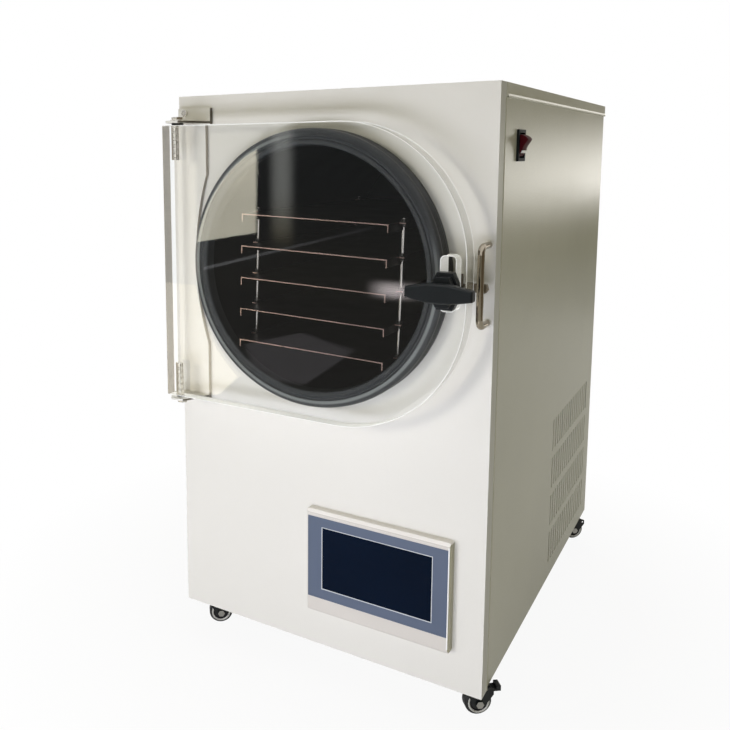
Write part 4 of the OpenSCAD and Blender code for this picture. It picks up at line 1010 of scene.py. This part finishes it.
class DRYER_OT_hinge(bpy.types.Operator):
    """Hinge pins with their threads, bushes, washers and screws"""

    bl_idname = "dryer.hinge"
    bl_label = "Hinge"

    def thread_tree(self, steel):
        """Geometry tree: one thread crest wound round a pin."""
        tree, given, end = new_group(
            "Pin thread", "GeometryNodeTree", "NodeSocketGeometry", ("Geometry",),
            {"Radius": 4 * MM, "Length": 30 * MM, "Pitch": 1.25 * MM, "Crest": 0.45 * MM})
        coil = node_of(tree, "GeometryNodeCurveSpiral", {
            "Resolution": 20, "Rotations": given["Length"] / given["Pitch"],
            "Start Radius": given["Radius"], "End Radius": given["Radius"],
            "Height": given["Length"]})
        profile = node_of(tree, "GeometryNodeCurvePrimitiveCircle",
                          {"Resolution": 4, "Radius": given["Crest"]})
        crest = node_of(tree, "GeometryNodeCurveToMesh", {
            "Curve": coil.outputs[0], "Profile Curve": profile.outputs[0], "Fill Caps": True})
        end_in_mesh(tree, crest, steel, end)
        return tree

    def execute(self, context):
        d, c = context.scene.dryer_detail, context.scene.dryer_finish
        steel = finish("fastener_steel", rgb(232, 229, 222), "brushed", 0.2, 0.06,
                       metallic=1.0, streak=(300.0, 300.0, 80.0))
        dress_all(("hinge_pins", "hinge_washers", "hinge_screws"), steel, SMALL_EDGE)
        bush = finish("bush_nylon", c.nylon, "moulded", 0.45, grain=2400.0, dust=18.0)
        dress("hinge_bushes", bush, SMALL_EDGE)
        # The pins' heads are wider than their shanks, on the same axis
        lo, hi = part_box("hinge_pins")
        thread = 44 * MM
        tree = self.thread_tree(steel)
        for label, z in (("lower", DOOR_LO.z + MM), ("upper", DOOR_HI.z - MM - thread)):
            obj = grown("pin_thread_" + label, tree,
                        {"Radius": 5.9 * MM, "Length": thread, "Pitch": d.thread_pitch},
                        ((lo.x + hi.x) / 2, (lo.y + hi.y) / 2, z), 60)
            coat_piece(obj, steel, "door")
        return {"FINISHED"}


class DRYER_OT_latch(bpy.types.Operator):
    """Latch handle, housing, tongue and the keeper with its welds"""

    bl_idname = "dryer.latch"
    bl_label = "Latch and keeper"

    def weld(self, name, x, z, r):
        """A wavy weld bead round a foot of the keeper, hollow towards rod and panel."""
        size, turns, steps = 1.9 * MM, 28, 5
        rows = []
        for j in range(steps + 1):
            b = math.pi / 2 * j / steps
            row = []
            for k in range(turns):
                a = math.tau * k / turns
                bead = size * (1 + 0.1 * math.sin(a * 9))
                reach = r + bead * (1 - math.sin(b) * 0.98)
                out = bead * (1 - math.cos(b) * 0.98)
                row.append((x + reach * math.cos(a), PANEL_LO.y - out, z + reach * math.sin(a)))
            rows.append(row)
        coat_piece(rows_object(name, rows, caps=False, angle=70),
                   bpy.data.materials["powder_coat_front"], "cabinet")

    def execute(self, context):
        c = context.scene.dryer_finish
        nylon = finish("handle_nylon", c.nylon, "moulded", 0.4, 0.1, 0.15, specular=0.35,
                       grain=2200.0, dust=25.0)
        dress_all(("latch_handle", "latch_housing"), nylon, BOLD_EDGE)
        black = finish("blackened_steel", rgb(122, 112, 95), "brushed", 0.4, 0.1, 0.2,
                       metallic=0.7, specular=0.3)
        dress_all(("latch_tongue", "latch_clamp"), black, SMALL_EDGE)
        steel = finish("keeper_steel", rgb(170, 160, 144), "brushed", 0.09, 0.03, 0.12,
                       metallic=1.0, streak=(500.0, 500.0, 60.0))
        dress("keeper_rod", steel)
        dress_all(("latch_shaft", "latch_nut"), steel, THIN_EDGE)
        lo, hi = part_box("keeper_rod")
        r = (hi.x - lo.x) / 2
        for label, z in (("lower", lo.z + r), ("upper", hi.z - r)):
            self.weld("keeper_weld_" + label, lo.x + r, z, r)
        return {"FINISHED"}


class DRYER_OT_controls(bpy.types.Operator):
    """Touch panel, display and rocker switch"""

    bl_idname = "dryer.controls"
    bl_label = "Controls"

    def rocker(self, c):
        """The rocker with its hooked profile, and the white bar moulded into its low end."""
        lo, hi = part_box("switch_rocker")
        # Both outlines are in mm, outwards and up from a point on the switch's axis
        x, y, z = hi.x - 11.5 * MM, (lo.y + hi.y) / 2, (lo.z + hi.z) / 2
        half = (hi.y - lo.y) / 2 - 1.3 * MM

        def across(line, reach):
            return [[(x + a * MM, y + side * reach, z + b * MM) for a, b in line]
                    for side in (-1, 1)]

        hook = ((-8.0, -8.0), (-1.2, -13.4), (3.2, -5.6), (3.6, -3.2), (4.8, -0.4), (9.2, 6.2),
                (9.6, 7.4), (7.4, 10.2), (3.2, 12.5), (0.0, 13.4), (-8.0, 8.0))
        body = rows_object("rocker_body", across(hook, half))
        bevel_edges(body, 0.7 * MM, 3, 30)
        soften(body.data, 40)
        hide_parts("switch_rocker")
        coat_piece(body, finish("rocker_red", c.rocker, "moulded", 0.4, 0.05, 0.12, 0.006,
                                specular=0.1, grain=1400.0, dust=30.0),
                   BODY_OF["switch_rocker"])
        # The bar stands on the slope below the hook, its flat side outwards
        bar = ((1.0, -9.2), (2.4, -6.0), (3.9, -6.0), (3.7, -9.2))
        coat_piece(rows_object("rocker_mark", across(bar, half * 0.94)),
                   finish("mark_white", rgb(252, 250, 248), "moulded", 0.3),
                   BODY_OF["switch_rocker"])

    def display_rim(self):
        """The thin step in which the printed field ends round the visible display."""
        lo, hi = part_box("hmi_screen")
        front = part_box("hmi_field")[0].y
        pale = finish("display_rim", rgb(206, 210, 214), "moulded", 0.3, specular=0.6)
        hidden = 3 * MM
        rows = []
        for inward, y in ((-0.15, front - 0.05 * MM), (-0.15, lo.y + 0.1 * MM),
                          (0.9, lo.y - 0.02 * MM)):
            shift = hidden + inward * MM
            rows.append(rectangle((lo.x + shift, y, lo.z + shift),
                                  (hi.x - shift, y, hi.z - shift)))
        coat_piece(rows_object("display_rim", rows, caps=False, loop=True), pale,
                   BODY_OF["hmi_screen"])

    def bezel_painted_light(self, bezel):
        """Painted light on the bezel's upper flanks, painted shade on its right flanks, and a
        bright rim along its right edge as a painted highlight.
        """
        coat_faces(bezel, finish("bezel_top_painted_light", rgb(240, 236, 230), "moulded", 0.4),
                   lambda face: face.normal.z > 0.45)
        coat_faces(bezel, finish("bezel_flank_painted_shade", rgb(172, 168, 144), "moulded", 0.4),
                   lambda face: face.normal.z <= 0.45 < face.normal.x)
        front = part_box("hmi_bezel")[0].y
        face_points = [v.co for v in NODES["hmi_bezel"].data.vertices if v.co.y < front + 0.1 * MM]
        edge = max(p.x for p in face_points) + 0.2 * MM
        low = min(p.z for p in face_points) + 1.6 * MM
        high = max(p.z for p in face_points) - 1.6 * MM
        rows = []
        for z, pinch in ((low, 0.5), (low + MM, 1.0), (high - MM, 1.0), (high, 0.5)):
            turns = [math.pi * k / 6 for k in range(7)]
            rows.append([(edge - (1 - pinch * math.cos(a)) * 0.8 * MM,
                          front + 0.05 * MM - pinch * math.sin(a) * 0.25 * MM, z)
                         for a in turns])
        coat_piece(rows_object("bezel_rim_painted_highlight", rows, angle=40),
                   finish("bezel_rim_painted_highlight", rgb(252, 251, 247), "moulded", 0.25),
                   BODY_OF["hmi_bezel"])

    def execute(self, context):
        c = context.scene.dryer_finish
        bezel = finish("bezel_plastic", c.bezel, "moulded", 0.4, 0.06, 0.04, 0.012,
                       grain=1800.0, dust=12.0)
        self.bezel_painted_light(dress("hmi_bezel", bezel, 0.6 * MM, corner=2.8 * MM))
        dress("hmi_field", finish("slate_film", c.slate, "moulded", 0.36, 0.05, 0.06, 0.008,
                                  grain=3000.0, dust=8.0))
        dress("hmi_screen", finish("display_glass", c.display, "moulded", 0.09, 0.03, 0.3,
                                   0.0005, specular=0.08, grain=200.0, dust=7.0))
        dress("switch_body", finish("switch_black", c.nylon, "moulded", 0.5, depth=0.01,
                                    specular=0.22, dust=30.0), 0.5 * MM)
        self.rocker(c)
        self.display_rim()
        case = finish("case_plastic", c.nylon, "moulded", 0.5)
        dress_all(("hmi_case", "power_inlet"), case, SMALL_EDGE)
        return {"FINISHED"}


class DRYER_OT_plant(bpy.types.Operator):
    """Compressor, condenser and fan behind the slots"""

    bl_idname = "dryer.plant"
    bl_label = "Plant"

    def execute(self, context):
        dress("compressor", finish("compressor_enamel", rgb(24, 24, 26), "coat", 0.25, coat=0.3,
                                   drift=8.0, contrast=0.6))
        dress("condenser", finish("condenser_fins", rgb(70, 68, 60), "brushed", 0.4,
                                  metallic=0.5))
        black = finish("fan_plastic", rgb(26, 27, 29), "moulded", 0.45)
        dress_all(("fan_shroud", "fan_rotor"), black)
        return {"FINISHED"}


class DRYER_OT_casters(bpy.types.Operator):
    """Caster plates, forks, wheels with their bearing covers, and pedals"""

    bl_idname = "dryer.casters"
    bl_label = "Casters"

    def axle(self, key):
        """The direction and the middle of a wheel's axle."""
        joint = JOINT_OF["roll_" + key]
        return Vector(joint["axis"]).normalized(), Vector(joint["pos_m"])

    def nut_faces(self, fork, key, material):
        """Gives the nuts and the ends of a wheel's axle their bright metal."""
        axis, middle = self.axle(key)
        nut_height, nut_reach = 12.2 * MM, 5.6 * MM

        def on_nut(face):
            arm = face.center - middle
            along = arm.dot(axis)
            return abs(along) > nut_height and (arm - axis * along).length < nut_reach

        coat_faces(fork, material, on_nut)

    def rings(self, key, material):
        """Pressed bearing covers on both faces of a wheel: a turned ring round the hub."""
        axis, middle = self.axle(key)
        up = Vector((0, 0, 1))
        side = axis.cross(up).normalized()
        turns = 40
        # Radius and height over the wheel's face, in millimetres
        line = ((11.4, -0.4), (11.7, 0.5), (12.4, 0.9), (13.6, 0.9), (14.2, 0.5), (14.5, -0.4))
        wheel_face = 7.45
        ways = [side * math.cos(a) + up * math.sin(a)
                for a in (math.tau * k / turns for k in range(turns))]
        for sign, label in ((1, "a"), (-1, "b")):
            rows = [[middle + axis * sign * (wheel_face + height) * MM + way * r * MM
                     for way in ways] for r, height in line]
            ring = rows_object("bearing_ring_%s_%s" % (key, label), rows, False, True, 50)
            coat_piece(ring, material, "wheel_" + key)

    def execute(self, context):
        c = context.scene.dryer_finish
        zinc = finish("caster_zinc", rgb(186, 184, 180), "brushed", 0.32, 0.1, 0.14,
                      metallic=1.0)
        dress("caster_plates", zinc, THIN_EDGE)
        nylon = finish("caster_nylon", c.nylon, "moulded", 0.4, 0.1, 0.25, grain=2000.0,
                       dust=40.0)
        tread = finish("wheel_tread", rgb(28, 28, 30), "moulded", 0.5, 0.1, 0.4, grain=1600.0,
                       dust=60.0)
        keys = ("fl", "fr", "bl", "br")
        for key in keys:
            self.nut_faces(dress("fork_" + key, nylon, SMALL_EDGE), key, zinc)
            dress("wheel_" + key, tread)
        dress_all(("pedal_fl", "pedal_fr"), nylon, SMALL_EDGE)
        bright = finish("bearing_ring", rgb(214, 213, 208), "brushed", 0.3, 0.08, 0.1,
                        metallic=0.6, streak=(200.0, 200.0, 200.0))
        for key in keys:
            self.rings(key, bright)
        return {"FINISHED"}


class DRYER_PT_panel(bpy.types.Panel):
    """The dryer's steps and settings"""

    bl_idname = "DRYER_PT_panel"
    bl_label = "Freeze dryer"
    bl_space_type = "VIEW_3D"
    bl_region_type = "UI"
    bl_category = "Freeze dryer"

    def draw(self, context):
        column = self.layout.column()
        for step in STEPS:
            column.operator(step.bl_idname)
        for group in (context.scene.dryer_finish, context.scene.dryer_detail,
                      context.scene.dryer_stage):
            for key in group.__annotations__:
                column.prop(group, key)


STEPS = (DRYER_OT_stage, DRYER_OT_cabinet, DRYER_OT_chamber, DRYER_OT_rack, DRYER_OT_door,
         DRYER_OT_hinge, DRYER_OT_latch, DRYER_OT_controls, DRYER_OT_plant, DRYER_OT_casters)
GROUP_CLASSES = (("dryer_finish", DryerFinish), ("dryer_detail", DryerDetail),
                 ("dryer_stage", DryerStage))


def register():
    for key, group in GROUP_CLASSES:
        bpy.utils.register_class(group)
        setattr(bpy.types.Scene, key, bpy.props.PointerProperty(type=group))
    for step in STEPS:
        bpy.utils.register_class(step)
    bpy.utils.register_class(DRYER_PT_panel)


def unregister():
    bpy.utils.unregister_class(DRYER_PT_panel)
    for step in reversed(STEPS):
        bpy.utils.unregister_class(step)
    for key, group in reversed(GROUP_CLASSES):
        delattr(bpy.types.Scene, key)
        bpy.utils.unregister_class(group)


def main():
    """Registers the add-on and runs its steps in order."""
    register()
    for step in STEPS:
        area, name = step.bl_idname.split(".")
        getattr(getattr(bpy.ops, area), name)()


if __name__ == "__main__":
    main()
